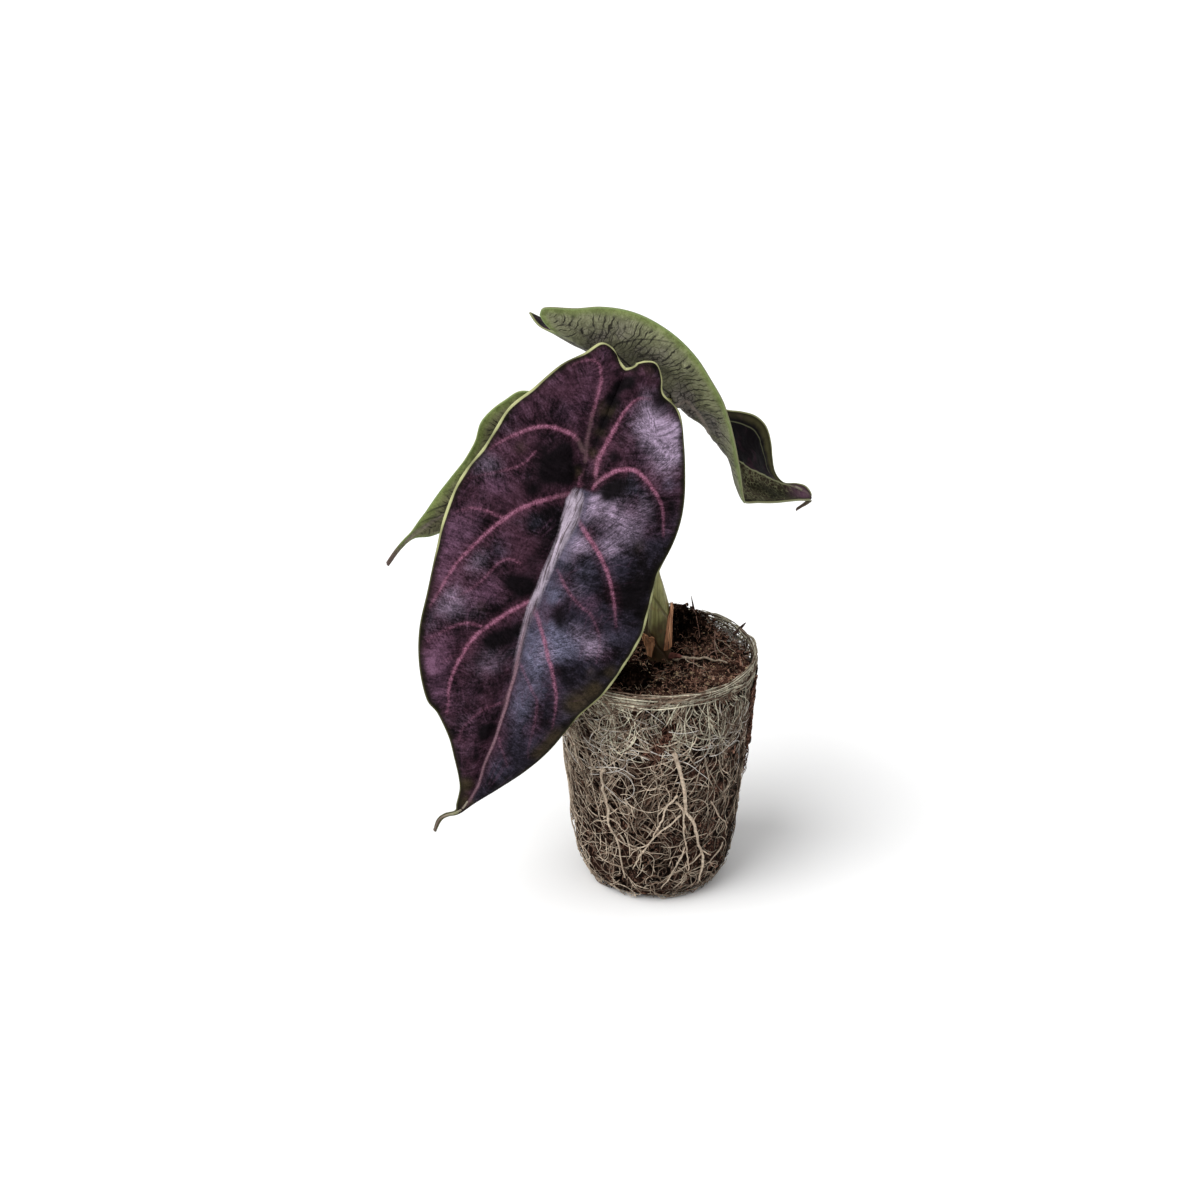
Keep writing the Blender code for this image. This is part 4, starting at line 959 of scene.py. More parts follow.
@made_once
def under_finish(name, look, olive=False):
    """Grey-olive underside with dark rows of fine veins, a dark net and a green band along the margin."""
    f = Finish(name)
    vein, force = f.attribute("vein_gap"), f.attribute("vein_force")
    edge, edge_run, share = f.attribute("edge_gap"), f.attribute("edge_run"), f.attribute("share")
    f.grains(110.0, 0.6)
    sway = f.noise(1.0, 2.0, 0.5, f.vector(f.times(edge_run, 0.16), f.times(edge, 0.22)))
    phase = f.plus(f.times(edge_run, 0.5), f.plus(f.times(f.times(edge, edge), 0.006), f.times(sway, 2.6)))
    patchy = f.noise(1.0, 2.0, 0.6, f.vector(f.times(edge_run, 0.55), f.times(edge, 0.12), 7.0))
    wide_rows = f.fade(f.sums("PINGPONG", phase, 0.5), 0.17, 0.05)
    narrow_rows = f.fade(f.sums("PINGPONG", f.times(phase, 2.63), 0.5), 0.22, 0.06)
    wide_rows = f.times(wide_rows, f.fade(patchy, 0.36, 0.52))
    narrow_rows = f.times(narrow_rows, f.fade(patchy, 0.3, 0.7, 0.1, 0.5))
    rows = f.plus(wide_rows, narrow_rows)
    body = f.mix(f.fade(f.blotch, 0.38, 0.68), look.under_colour, look.under_plum)
    if olive:
        body = f.mix(0.7, body, look.under_olive)
    light = f.fade(f.plus(edge, f.times(f.blotch, 6.0)), 13.0, 5.5)
    body = f.mix(f.times(light, 0.2 if olive else 0.75), body, look.under_light)
    green = f.fade(f.plus(edge, f.times(f.mottle, 2.5)), 4.4, 1.6)
    body = f.mix(f.times(green, 0.8), body, look.under_green)
    weave = f.plus(f.times(f.mottle, 0.6), f.times(f.grain, 0.4))
    body = f.scaled(body, f.fade(weave, 0.38, 0.62, 0.72, 1.25))
    band = f.times(f.fade(edge, 1.2, 3.4), f.fade(f.plus(edge, f.times(patchy, 8.0)), 20.0, 12.0))
    body = f.mix(f.times(f.times(f.sums("MINIMUM", rows, 1.0), band), 0.92), body, look.under_line)
    net = f.fade(f.cells(560.0, f.plus_vector(f.place, f.times(f.mottle, 0.0012))), 0.1, 0.02)
    mesh = f.times(net, f.times(f.fade(edge, 3.0, 9.0, 0.2, 1.0), f.fade(f.blotch, 0.3, 0.6, 0.25, 1.0)))
    body = f.mix(f.times(mesh, 0.85), body, look.under_line)
    dark = f.fade(f.sums("SUBTRACT", vein, f.times(force, 0.22)), 0.3, 0.0)
    body = f.mix(f.times(dark, f.fade(force, 0.1, 0.7, 0.35, 0.95)), body, look.under_line)
    rib_share = f.times(f.fade(f.attribute("rib_gap"), 1.3, 0.3), f.fade(f.mottle, 0.35, 0.6, 0.3, 0.8))
    body = f.mix(rib_share, body, look.under_rib)
    body = f.mix(f.fade(share, 0.88, 0.97), body, look.tip_colour)
    body = f.mix(f.times(f.fade(edge, 0.6, 0.25), f.fade(share, 0.94, 0.86)), body, look.margin_green)
    height = f.plus(f.times(f.mottle, 0.7), f.plus(f.times(rows, -0.5), f.times(net, -0.3)))
    return f.finish(body, 0.6, f.bump(height, 0.00014, 0.7), Specular_IOR_Level=0.06)


@made_once
def margin_finish(name, look):
    """Pale rim of a blade."""
    f = Finish(name)
    body = f.mix(f.attribute("pale"), look.margin_dull, look.margin_colour)
    body = f.mix(f.fade(f.noise(240.0, 3.0), 0.4, 0.75, 0.0, 0.5), body, look.margin_green)
    body = f.mix(f.fade(f.attribute("share"), 0.84, 0.93), body, look.tip_colour)
    return f.finish(body, 0.5, f.bump(f.noise(1500.0), 0.00005), Specular_IOR_Level=0.2)


def stalk_finish(look):
    """Streaked green stalk wrapped in sheaths, with brown edges and a brown foot."""
    f = Finish("stalk_skin")
    streak = f.noise(1.0, 3.0, 0.6, f.spread(f.place, (1400.0, 1400.0, 90.0)))
    blotch = f.noise(160.0, 3.0)
    body = f.mix(f.fade(streak, 0.35, 0.7), look.stalk_dark, look.stalk_colour)
    height = f.on_axis("Z")
    slanted = f.on_axis("X", f.spread(f.place, (1000.0, 1000.0, 1000.0), (0.0, 0.55, 0.0)))
    fold = f.fade(f.sums("PINGPONG", f.plus(slanted, f.times(blotch, 1.2)), 3.4), 0.55, 0.1)
    body = f.mix(f.times(f.times(fold, f.fade(height, 0.1, 0.085)), 0.45), body, look.foot_colour)
    foot = f.fade(f.plus(height, f.times(blotch, 0.016)), 0.0955, 0.083)
    body = f.mix(f.times(foot, 0.93), body, look.foot_colour)
    bruise = f.times(f.fade(f.noise(420.0, 3.0), 0.55, 0.75), f.fade(height, 0.105, 0.08))
    body = f.mix(f.times(bruise, 0.5), body, look.scale_dark)
    relief = f.plus(streak, f.times(fold, -1.0))
    roughness = f.fade(streak, 0.2, 0.8, 0.42, 0.56)
    return f.finish(body, roughness, f.bump(relief, 0.0002), Specular_IOR_Level=0.3)


def scale_finish(look):
    """Papery brown scale with fine fibres."""
    f = Finish("dry_scale_skin")
    fibre = f.noise(1.0, 4.0, 0.65, f.spread(f.place, (1900.0, 1900.0, 160.0)), 0.4)
    body = f.mix(f.fade(fibre, 0.32, 0.68), look.scale_dark, look.scale_colour)
    body = f.mix(f.times(f.fade(f.noise(300.0, 3.0), 0.5, 0.75), 0.6), body, look.foot_colour)
    return f.finish(body, 0.68, f.bump(fibre, 0.0002), Specular_IOR_Level=0.3)


@made_once
def peat_finish(name, look):
    """Crumbly peat with red-brown fibres, painted black shadow round the stem, and lighter at the right."""
    f = Finish(name)
    lump, fine = f.noise(190.0, 5.0, 0.65), f.noise(650.0, 3.0, 0.7)
    crumb, small_crumb = f.cells(520.0, feature="F1"), f.cells(1050.0, feature="F1")
    threads = f.spread(f.place, (900.0, 230.0, 520.0), (0.4, 0.7, 0.2))
    fibre = f.noise(1.0, 3.0, 0.65, threads, 1.4)
    body = f.mix(f.fade(lump, 0.42, 0.62), look.dark_colour, look.warm_colour)
    lit = f.times(f.fade(crumb, 0.42, 0.12), f.fade(fine, 0.46, 0.6))
    body = f.mix(f.times(lit, 0.8), body, look.fibre_colour)
    lit = f.times(f.fade(small_crumb, 0.4, 0.1), f.fade(f.noise(420.0, 2.0), 0.5, 0.66))
    body = f.mix(f.times(lit, 0.6), body, look.fleck_colour)
    body = f.mix(f.times(f.fade(fibre, 0.57, 0.63), 0.75), body, look.fibre_colour)
    # Painted shadow: the peat is drawn near-black round the stem, where it lies in shade.
    for x, y, near, far in PEAT_SHADOWS:
        spot = (x * MM, y * MM, (PEAT_TOP + 1.0) * MM)
        gap = f.add("VectorMath", {0: f.place, 1: spot}, "Value", operation="DISTANCE")
        gap = f.plus(gap, f.times(lump, 0.006))
        body = f.scaled(body, f.fade(gap, near * MM, far * MM, 0.15, 1.0))
    body = f.scaled(body, f.fade(f.on_axis("X"), 0.002, 0.018, 1.0, 2.0))
    height = f.plus(f.times(lump, 0.6), f.plus(f.times(crumb, -0.9), f.times(fibre, 0.6)))
    return f.finish(body, 0.93, f.bump(height, 0.0009), Specular_IOR_Level=0.0)


@made_once
def root_finish(name, pale, dull, scale=420.0, stain_and_shade=0.5):
    """Root skin that goes from pale to dull, with soil stains that grow towards the right of the plug as
    painted shade, and painted shade where the root lies deep.
    """
    f = Finish(name)
    body = f.mix(f.fade(f.noise(scale, 2.0, 0.6), 0.35, 0.65), pale, dull)
    # Soil stains in patches, grown towards the right of the plug as painted shade.
    stain_and_side_shade = f.plus(f.noise(130.0, 4.0, 0.6), f.fade(f.on_axis("X"), 0.0, 0.028, 0.0, 0.13))
    body = f.mix(f.times(f.fade(stain_and_side_shade, 0.46, 0.64), stain_and_shade), body, SOIL_STAIN_AND_SHADE)
    body = f.scaled(body, f.fade(f.noise(1500.0, 2.0, 0.6), 0.3, 0.7, 0.65, 1.25))
    # Painted shade: darker where the root lies deep behind the others and on the right of the plug.
    body = f.scaled(body, f.fade(f.attribute("sunken"), 0.1, 1.0, 1.0, 0.12))
    return f.finish(body, 0.7, f.bump(f.noise(2600.0, 3.0), 0.00012), Specular_IOR_Level=0.06)


def root_tones(name, pale, dull):
    """Three finishes for roots that lie side by side: light, middling and brown."""
    light = [min(1.0, 1.3 * part) for part in pale]
    brown = [0.5 * part for part in dull]
    return [
        root_finish(name + "_light", light, pale, 300.0, 0.3),
        root_finish(name + "_middling", pale, dull),
        root_finish(name + "_brown", dull, brown, 420.0, 0.6),
    ]


# Settings that a user would change

def colour(name, text, value):
    """Setting that holds a colour."""
    return FloatVectorProperty(name=name, description=text, default=value, subtype="COLOR", min=0.0, max=1.0,
                               size=3)


def length_setting(name, text, value):
    """Setting that holds a length in metres."""
    return FloatProperty(name=name, description=text, default=value, unit="LENGTH")


def count_setting(name, text, value):
    """Setting that holds how many there are."""
    return IntProperty(name=name, description=text, default=value, min=1)


def strength_setting(name, text, value):
    """Setting that holds the strength of a light."""
    return FloatProperty(name=name, description=text, default=value, min=0.0)


class AlocasiaLeafSettings(bpy.types.PropertyGroup):
    """Sizes and colours of the blades"""
    thickness: length_setting("Thickness", "Thickness of a blade", 0.00045)
    groove_depth: length_setting("Groove depth", "Depth of the veins in the upper face", 0.0005)
    dark_colour: colour("Dark", "Near-black ground of the upper face", (0.004, 0.003, 0.0038))
    plum_colour: colour("Plum", "Purple patches of the upper face", (0.042, 0.0175, 0.028))
    slate_colour: colour("Slate", "Blue-black ground of the lower right half", (0.022, 0.019, 0.03))
    blush_colour: colour("Blush", "Mauve bloom of the left half", (0.105, 0.05, 0.085))
    # Painted lilac silver sheen.
    sheen_colour: colour("Sheen", "Lilac silver bloom", (0.225, 0.17, 0.24))
    # Painted blue-grey sheen beside the midrib.
    blue_sheen_colour: colour("Satin", "Blue-grey bloom beside the midrib", (0.085, 0.082, 0.125))
    olive_colour: colour("Olive", "Brown-olive places of the upper face", (0.03, 0.022, 0.013))
    olive_dark: colour("Olive shade", "Dark olive band inside the margin", (0.0095, 0.0085, 0.004))
    vein_colour: colour("Veins", "Magenta veins of the upper face", (0.17, 0.058, 0.098))
    vein_light: colour("Vein light", "Pale pink grain on the veins", (0.31, 0.13, 0.2))
    rib_colour: colour("Midrib", "Silver midrib of the upper face", (0.38, 0.32, 0.39))
    rib_dark: colour("Midrib lines", "Dark lines in the midrib", (0.1, 0.078, 0.09))
    dull_vein: colour("Dull veins", "Brown-olive veins close to the joint", (0.06, 0.042, 0.04))
    rib_low: colour("Lower midrib", "Pinkish grey lower midrib", (0.2, 0.115, 0.14))
    margin_colour: colour("Margin", "Thin pale line round a blade", (0.42, 0.425, 0.215))
    margin_dull: colour("Dull margin", "Margin where it is not pale", (0.075, 0.075, 0.035))
    margin_green: colour("Green margin", "Margin of the undersides", (0.2, 0.26, 0.1))
    tip_colour: colour("Tip", "Brown drip tip", (0.15, 0.108, 0.092))
    under_colour: colour("Underside", "Grey olive of the underside", (0.125, 0.122, 0.078))
    under_plum: colour("Underside plum", "Purple grey of the underside", (0.17, 0.15, 0.135))
    under_light: colour("Underside light", "Pale green grey towards the margin", (0.235, 0.245, 0.135))
    under_green: colour("Underside green", "Green band beside the margin", (0.17, 0.22, 0.06))
    under_olive: colour("Underside olive", "Olive of the small blade", (0.105, 0.097, 0.04))
    under_line: colour("Underside veins", "Dark net of veins", (0.014, 0.012, 0.01))
    under_rib: colour("Underside midrib", "Midrib of the underside", (0.27, 0.22, 0.19))


class AlocasiaStemSettings(bpy.types.PropertyGroup):
    """Colours of the stalks, colours and thickness of the dry scales"""
    stalk_colour: colour("Stalk", "Green of the stalks", (0.34, 0.335, 0.13))
    stalk_dark: colour("Stalk streaks", "Darker streaks of the stalks", (0.17, 0.16, 0.055))
    foot_colour: colour("Foot", "Brown foot of the stalks", (0.04, 0.019, 0.011))
    scale_colour: colour("Scale", "Dry scales", (0.75, 0.39, 0.21))
    scale_dark: colour("Scale fibres", "Darker fibres of the scales", (0.19, 0.065, 0.028))
    scale_thickness: length_setting("Scale thickness", "Thickness of a dry scale", 0.00025)


class AlocasiaPeatSettings(bpy.types.PropertyGroup):
    """Colours and crumbs of the peat, and its torn strip"""
    dark_colour: colour("Dark peat", "Damp dark peat", (0.0045, 0.003, 0.0025))
    warm_colour: colour("Warm peat", "Dry red-brown peat", (0.034, 0.0165, 0.012))
    fibre_colour: colour("Fibres", "Reddish fibres in the peat", (0.25, 0.14, 0.1))
    fleck_colour: colour("Flecks", "Pale flecks in the peat", (0.46, 0.36, 0.27))
    crumbs: count_setting("Crumbs", "Loose crumbs on top of the peat", 2400)
    twigs: count_setting("Twigs", "Bits of fibre on top of the peat", 1100)
    threads: count_setting("Threads", "White threads at the back of the rim", 190)
    strands: count_setting("Strands", "Dark roots that hang with the torn strip", 70)
    strip_thickness: length_setting("Strip thickness", "Thickness of the torn strip", 0.0006)


class AlocasiaRootSettings(bpy.types.PropertyGroup):
    """Numbers, thickness and colours of the roots"""
    fine_radius: length_setting("Fine root", "Radius of a fine root", 0.00017)
    deep_roots: count_setting("Deep roots", "Dark roots behind the others", 560)
    rim_roots: count_setting("Rim roots", "Roots that circle the rim", 84)
    arches: count_setting("Arches", "Roots that bend down from the rim", 1200)
    runners: count_setting("Runners", "Long roots that run down the plug", 420)
    crossings: count_setting("Crossings", "White roots that cross the others", 250)
    net_roots: count_setting("Net roots", "Curly roots of the lower net", 1450)
    pale_colour: colour("Pale root", "Fine roots", (0.56, 0.465, 0.36))
    dull_colour: colour("Dull root", "Shaded fine roots", (0.28, 0.2, 0.145))
    # Painted shade: roots that lie behind the others are drawn dark.
    deep_shade_colour: colour("Deep root", "Roots behind the others", (0.075, 0.042, 0.03))
    rim_colour: colour("Rim root", "Greenish roots of the rim", (0.57, 0.535, 0.415))
    white_colour: colour("White root", "Youngest roots", (0.68, 0.64, 0.59))
    tan_colour: colour("Tan root", "Thick roots", (0.5, 0.395, 0.3))


class AlocasiaStageSettings(bpy.types.PropertyGroup):
    """Floor and light"""
    floor_size: length_setting("Floor", "Side of the floor", 8.0)
    key_strength: strength_setting("Key", "Strength of the soft light from the left", 3.0)
    top_strength: strength_setting("Top", "Strength of the soft light from above", 0.8)
    sky_strength: strength_setting("Sky", "Strength of the even light all round", 0.4)


# Pieces

class ALOCASIA_OT_front_leaf(bpy.types.Operator):
    """Build the large front blade with its magenta veins"""
    bl_idname = "alocasia.front_leaf"
    bl_label = "Front leaf"

    def execute(self, context):
        look = context.scene.alocasia_leaf
        spots = {
            "sheen": SHEEN, "satin": BLUE_SHEEN, "blush": BLUSH, "hollow": SHADE_SPOTS, "olive": OLIVE, "dull": DULL,
            "pale": PALE,
        }
        leaf = blade_object("front_blade", FRONT, look, FRONT_VEINS, FRONT_RIB, (136, 288), 3, spots)
        skins = [
            upper_finish("blade_upper", look), under_finish("blade_underside", look),
            margin_finish("blade_margin", look),
        ]
        settled(leaf, "blade", skins, "leaf_front")
        return {"FINISHED"}


class ALOCASIA_OT_back_leaf(bpy.types.Operator):
    """Build the blade behind, which shows its underside and twists over"""
    bl_idname = "alocasia.back_leaf"
    bl_label = "Back leaf"

    def execute(self, context):
        look = context.scene.alocasia_leaf
        spots = {"blush": BLUSH, "sheen": SHEEN[:12], "hollow": SHADE_SPOTS[:20]}
        leaf = blade_object("back_blade", BACK, look, BACK_VEINS, BACK_RIB, (100, 220), 11, spots)
        skins = [
            upper_finish("blade_upper_turned", look, True), under_finish("blade_underside", look),
            margin_finish("blade_margin", look),
        ]
        settled(leaf, "underside", skins, "leaf_back")
        return {"FINISHED"}


class ALOCASIA_OT_left_leaf(bpy.types.Operator):
    """Build the small blade that hangs at the left"""
    bl_idname = "alocasia.left_leaf"
    bl_label = "Left leaf"

    def execute(self, context):
        look = context.scene.alocasia_leaf
        spots = {"blush": BLUSH, "hollow": SHADE_SPOTS[:20]}
        leaf = blade_object("left_blade", LEFT, look, LEFT_VEINS, LEFT_RIB, (80, 170), 23, spots, 0.9)
        skins = [
            upper_finish("blade_upper", look), under_finish("blade_underside_olive", look, True),
            margin_finish("blade_margin", look),
        ]
        settled(leaf, "underside", skins, "leaf_left")
        return {"FINISHED"}


class ALOCASIA_OT_stalks(bpy.types.Operator):
    """Build the stem base with its three leaf stalks"""
    bl_idname = "alocasia.stalks"
    bl_label = "Stalks"

    def execute(self, context):
        lines = [stepped(bends, 90) for bends in (FRONT_STALK, BACK_STALK, LEFT_STALK)]
        stems = tubes("leaf_stalks", lines, [stalk_finish(context.scene.alocasia_stem)], 28)
        for vertex in stems.data.vertices:
            spot = vertex.co / MM
            ridge = noise.noise(Vector((spot.x * 1.1, spot.y * 1.1, spot.z * 0.06)))
            vertex.co += vertex.normal * (0.22 * ridge + 0.12 * noise.noise(spot * 0.3)) * MM
        settled(stems, "stalk", [], "stalks")
        return {"FINISHED"}


class ALOCASIA_OT_dry_scales(bpy.types.Operator):
    """Build the papery scales round the stem base"""
    bl_idname = "alocasia.dry_scales"
    bl_label = "Dry scales"

    def execute(self, context):
        look = context.scene.alocasia_stem
        skin = scale_finish(look)
        for number, (name, size) in enumerate(DRY_SCALES.items()):
            work = bmesh.new()
            bmesh.ops.create_grid(work, x_segments=28, y_segments=52, size=1.0)
            for vertex in work.verts:
                vertex.co = self.place(number, size, vertex.co.x, 0.5 * (1.0 + vertex.co.y))
            scale = new_object(name + "_papery", work)
            thickened(scale, look.scale_thickness, 0.0)
            settled(scale, "dry_scale", [skin], name)
        return {"FINISHED"}

    @staticmethod
    def place(number, size, across, up):
        """Place on a scale, from -1 to 1 across it and from 0 at its foot to 1 at its torn end."""
        torn = 0.14 * noise.noise(Vector((across * 3.0, up * 4.0, number * 7.0)))
        torn += 0.05 * noise.noise(Vector((across * 11.0, up * 9.0, number * 3.0)))
        width = size["foot"] + (1.0 - size["foot"]) * min(1.0, up * 1.6) + size["flare"] * up ** 1.6
        angle = radians(size["turn"] + size["half_turn"] * across * width + 9.0 * torn + size["slide"] * up)
        crease = 0.3 * noise.noise(Vector((across * 2.2, up * 2.0, 3.0 + number)))
        radius = size["near"] + size["lean"] * up ** 2 + 0.1 * sin(9.0 * across)
        radius += (0.2 * abs(across) + crease + 0.4 * abs(across) ** 3 * up) * size["crumpled"]
        height = size["low"] + size["tall"] * up * (1.0 + torn + 0.1 * across * size["flare"])
        return Vector((SCALE_X + radius * cos(angle), SCALE_Y + radius * sin(angle), height)) * MM


class ALOCASIA_OT_peat(bpy.types.Operator):
    """Build the tapered plug of peat with its crumbly skin"""
    bl_idname = "alocasia.peat"
    bl_label = "Peat plug"

    def execute(self, context):
        top_radius, top_height = PEAT_SIDE[-1]
        profile = [(top_radius * k / TOP_RINGS, PEAT_TOP) for k in range(TOP_RINGS)]
        heights = [top_height * (1 - k / SIDE_RINGS) for k in range(SIDE_RINGS + 1)]
        profile += [(between(PEAT_SIDE, height), height) for height in heights]
        profile += [(radius, 0.0) for radius in (12.0, 8.0, 4.0, 0.0)]
        work = bmesh.new()
        line = [work.verts.new((r * MM, 0.0, z * MM)) for r, z in profile]
        edges = [work.edges.new(pair) for pair in zip(line, line[1:])]
        bmesh.ops.spin(work, geom=line + edges, cent=(0, 0, 0), axis=(0, 0, 1), angle=2 * pi,
                       steps=PLUG_STEPS, use_merge=True)
        bmesh.ops.remove_doubles(work, verts=work.verts, dist=0.00001)
        bmesh.ops.recalc_face_normals(work, faces=work.faces)
        for vertex in work.verts:
            spot = vertex.co / MM
            if spot.z > PEAT_TOP - 0.2:
                vertex.co.z = (soil_height(spot.x, spot.y) + self.lumps(spot, 1.5)) * MM
            elif spot.z > 0.5:
                swell = 1.0 + (self.lumps(spot, 0.8) - 0.15) / max(hypot(spot.x, spot.y), 1.0)
                vertex.co.x *= swell
                vertex.co.y *= swell
            vertex.co.x += between(LEAN, spot.z) * MM
        peat = new_object("peat_plug", work)
        settled(peat, "peat", [peat_finish("crumbly_peat", context.scene.alocasia_peat)], "soil_plug")
        return {"FINISHED"}

    @staticmethod
    def lumps(spot, size):
        """Height of the lumps and grains of the peat at a place."""
        lump = noise.voronoi(spot * 0.42)[0][0]
        grain = noise.voronoi(spot * 1.1 + Vector((3.0, 1.0, 7.0)))[0][0]
        swell = noise.noise(spot * 0.16)
        return size * (0.9 * (0.45 - lump) + 0.45 * (0.4 - grain) + 0.5 * swell)


class ALOCASIA_OT_crumbs(bpy.types.Operator):
    """Scatter crumbs, fibres and threads over the peat and its bare patch, with two splinters of bark"""
    bl_idname = "alocasia.crumbs"
    bl_label = "Crumbs and twigs"

    def execute(self, context):
        look = context.scene.alocasia_peat
        self.chance = random.Random(17)
        self.top_crumbs(look)
        self.patch()
        self.top_fibres(look)
        dark = root_finish("bark_skin", (0.07, 0.042, 0.035), (0.02, 0.012, 0.009), 300.0, 0.2)
        bits = [stepped(bends, count) for count, bends in BARK]
        settled(tubes("bark_splinters", bits, [dark], 8), "peat", [])
        return {"FINISHED"}

    def top_crumbs(self, look):
        """Dark, reddish and golden crumbs on top of the peat, some of them on the heap."""
        chance = self.chance
        works = [bmesh.new() for tone in range(3)]
        for number in range(look.crumbs):
            turn, reach = chance.uniform(0, 2 * pi), SOIL_RADIUS * chance.random() ** 0.5
            size = chance.uniform(0.18, 0.45) if number % 9 else chance.uniform(0.5, 0.9)
            x, y = reach * cos(turn), reach * sin(turn)
            z = soil_height(x, y) + chance.uniform(-0.1, 0.4)
            if number % 6 == 0:
                x, y = HEAP_X + chance.gauss(0, 7), HEAP_Y + chance.gauss(0, 3)
                if hypot(x, y) > SOIL_RADIUS:
                    continue
                z = soil_height(x, y) + chance.uniform(0.0, 1.2)
            gold = number % 6 and x > -4.0 and chance.random() < 0.25 + 0.35 * (y < -8.0)
            tone = 2 if gold else int(number % 6 > 0 and chance.random() < 0.3)
            # Painted shadow: crumbs in the shade in front of and behind the stem keep the dark peat tone.
            tone *= self.lit(x, y)
            self.crumb(works[tone], size * (0.7 if gold else 1.0), (x, y, z))
        golden = root_finish("golden_crumb", (0.6, 0.45, 0.28), (0.26, 0.165, 0.1), 500.0, 0.3)
        reddish = root_finish("reddish_crumb", (0.25, 0.13, 0.095), (0.1, 0.05, 0.036), 500.0, 0.4)
        skins = (peat_finish("crumbly_peat", look), reddish, golden)
        for work, name, skin in zip(works, ("dark_crumbs", "reddish_crumbs", "golden_crumbs"), skins):
            settled(new_object(name, work), "peat", [skin])

    def patch(self):
        """Rusty crumbs and short fibres in the bare patch on the front of the plug."""
        chance = self.chance
        work, strands = bmesh.new(), []
        (turn_a, high_a), (turn_b, high_b) = BARE_PATCH["top"], BARE_PATCH["foot"]
        for number in range(PATCH_CRUMBS + PATCH_FIBRES):
            share = chance.random()
            turn = turn_a + share * (turn_b - turn_a) + chance.gauss(0, 4.0)
            height = high_a + share * (high_b - high_a) + chance.gauss(0, 1.8)
            if number < PATCH_CRUMBS:
                place = on_plug(turn, height, chance.uniform(-1.1, -0.5))
                self.crumb(work, chance.uniform(0.15, 0.45), place)
                continue
            heading, lift, line = chance.uniform(0, 6.3), chance.uniform(-0.6, 0.1), []
            for k in range(7):
                line.append((0.09, on_plug(turn, height, lift + 0.1 * sin(k))))
                heading += chance.uniform(-0.6, 0.6)
                turn += degrees(0.45 * cos(heading) / PLUG_RADIUS)
                height += 0.45 * sin(heading)
            strands.append(line)
        rusty = root_finish("rusty_crumb", (0.15, 0.068, 0.046), (0.05, 0.023, 0.016), 500.0, 0.3)
        settled(new_object("patch_crumbs", work), "peat", [rusty])
        skins = root_tones("patch_fibre", (0.24, 0.12, 0.085), (0.1, 0.045, 0.03))
        settled(tubes("patch_fibres", strands, skins), "peat", [])

    def top_fibres(self, look):
        """Fibres over the top of the peat, left out in the painted shadow round the stem, and white threads
        along the back of the rim.
        """
        chance = self.chance
        fibres = []
        for number in range(look.twigs):
            turn, reach = chance.uniform(0, 360), 27.6 * chance.random() ** 0.5
            fibres.append(self.fibre(turn, reach, (0.04, 0.1), (0.9, 3.0)))
        # Painted shadow: fibres are left out where the peat lies in shade in front of and behind the stem.
        fibres = [line for line in fibres if line and self.lit(*line[0][1][:2])]
        skins = root_tones("peat_fibre", (0.46, 0.25, 0.175), (0.17, 0.08, 0.054))
        skins.append(root_finish("pale_fibre_skin", (0.55, 0.45, 0.34), (0.28, 0.19, 0.13), 300.0, 0.3))
        settled(tubes("peat_fibres", [line for line in fibres if len(line) > 2], skins), "peat", [])
        threads = []
        for number in range(look.threads):
            turn, reach = chance.gauss(38, 19), 28.3 - abs(chance.gauss(0, 1.3))
            threads.append(self.fibre(turn, reach, (0.05, 0.08), (0.8, 2.4)))
        skins = root_tones("thread", (0.62, 0.6, 0.55), (0.36, 0.33, 0.29))
        settled(tubes("white_threads", [line for line in threads if len(line) > 2], skins), "roots", [])

    @staticmethod
    def lit(x, y):
        """Whether a place on the peat lies outside the painted shadow in front of and behind the stem."""
        ragged = 3.5 * noise.noise(Vector((x, y, 1.0)) * 0.3)
        return min(hypot(x + 8.0, y + 9.0) - 8.5, hypot(x - 8.0, y - 18.0) - 6.0) + ragged > 0.0

    def crumb(self, work, size, place):
        """Adds an uneven lump to a bmesh."""
        chance = self.chance
        made = bmesh.ops.create_icosphere(work, subdivisions=1, radius=size * MM)["verts"]
        for vertex in made:
            vertex.co *= 1.0 + 0.5 * chance.uniform(-0.6, 0.6)
        squeeze = Vector((chance.uniform(0.7, 1.3), chance.uniform(0.6, 1.2), chance.uniform(0.5, 0.9)))
        bmesh.ops.scale(work, vec=squeeze, verts=made)
        bmesh.ops.translate(work, vec=Vector(place) * MM, verts=made)

    def fibre(self, turn, reach, thick, length):
        """Steps of a fibre that arches over the peat, as long as they stay inside the rim."""
        chance = self.chance
        x, y = reach * cos(radians(turn)), reach * sin(radians(turn))
        heading, long, radius = chance.uniform(0, 2 * pi), chance.uniform(*length), chance.uniform(*thick)
        lift, arch = chance.uniform(0.15, 0.6), chance.uniform(0.0, 0.5)
        steps = []
        for k in range(6):
            if hypot(x, y) > 28.6:
                break
            z = soil_height(x, y) + lift + arch * sin(0.6 * k)
            steps.append((radius * (1.0 - 0.1 * k), (x, y, z)))
            heading += chance.uniform(-0.45, 0.45)
            x += cos(heading) * long / 5
            y += sin(heading) * long / 5
        return steps


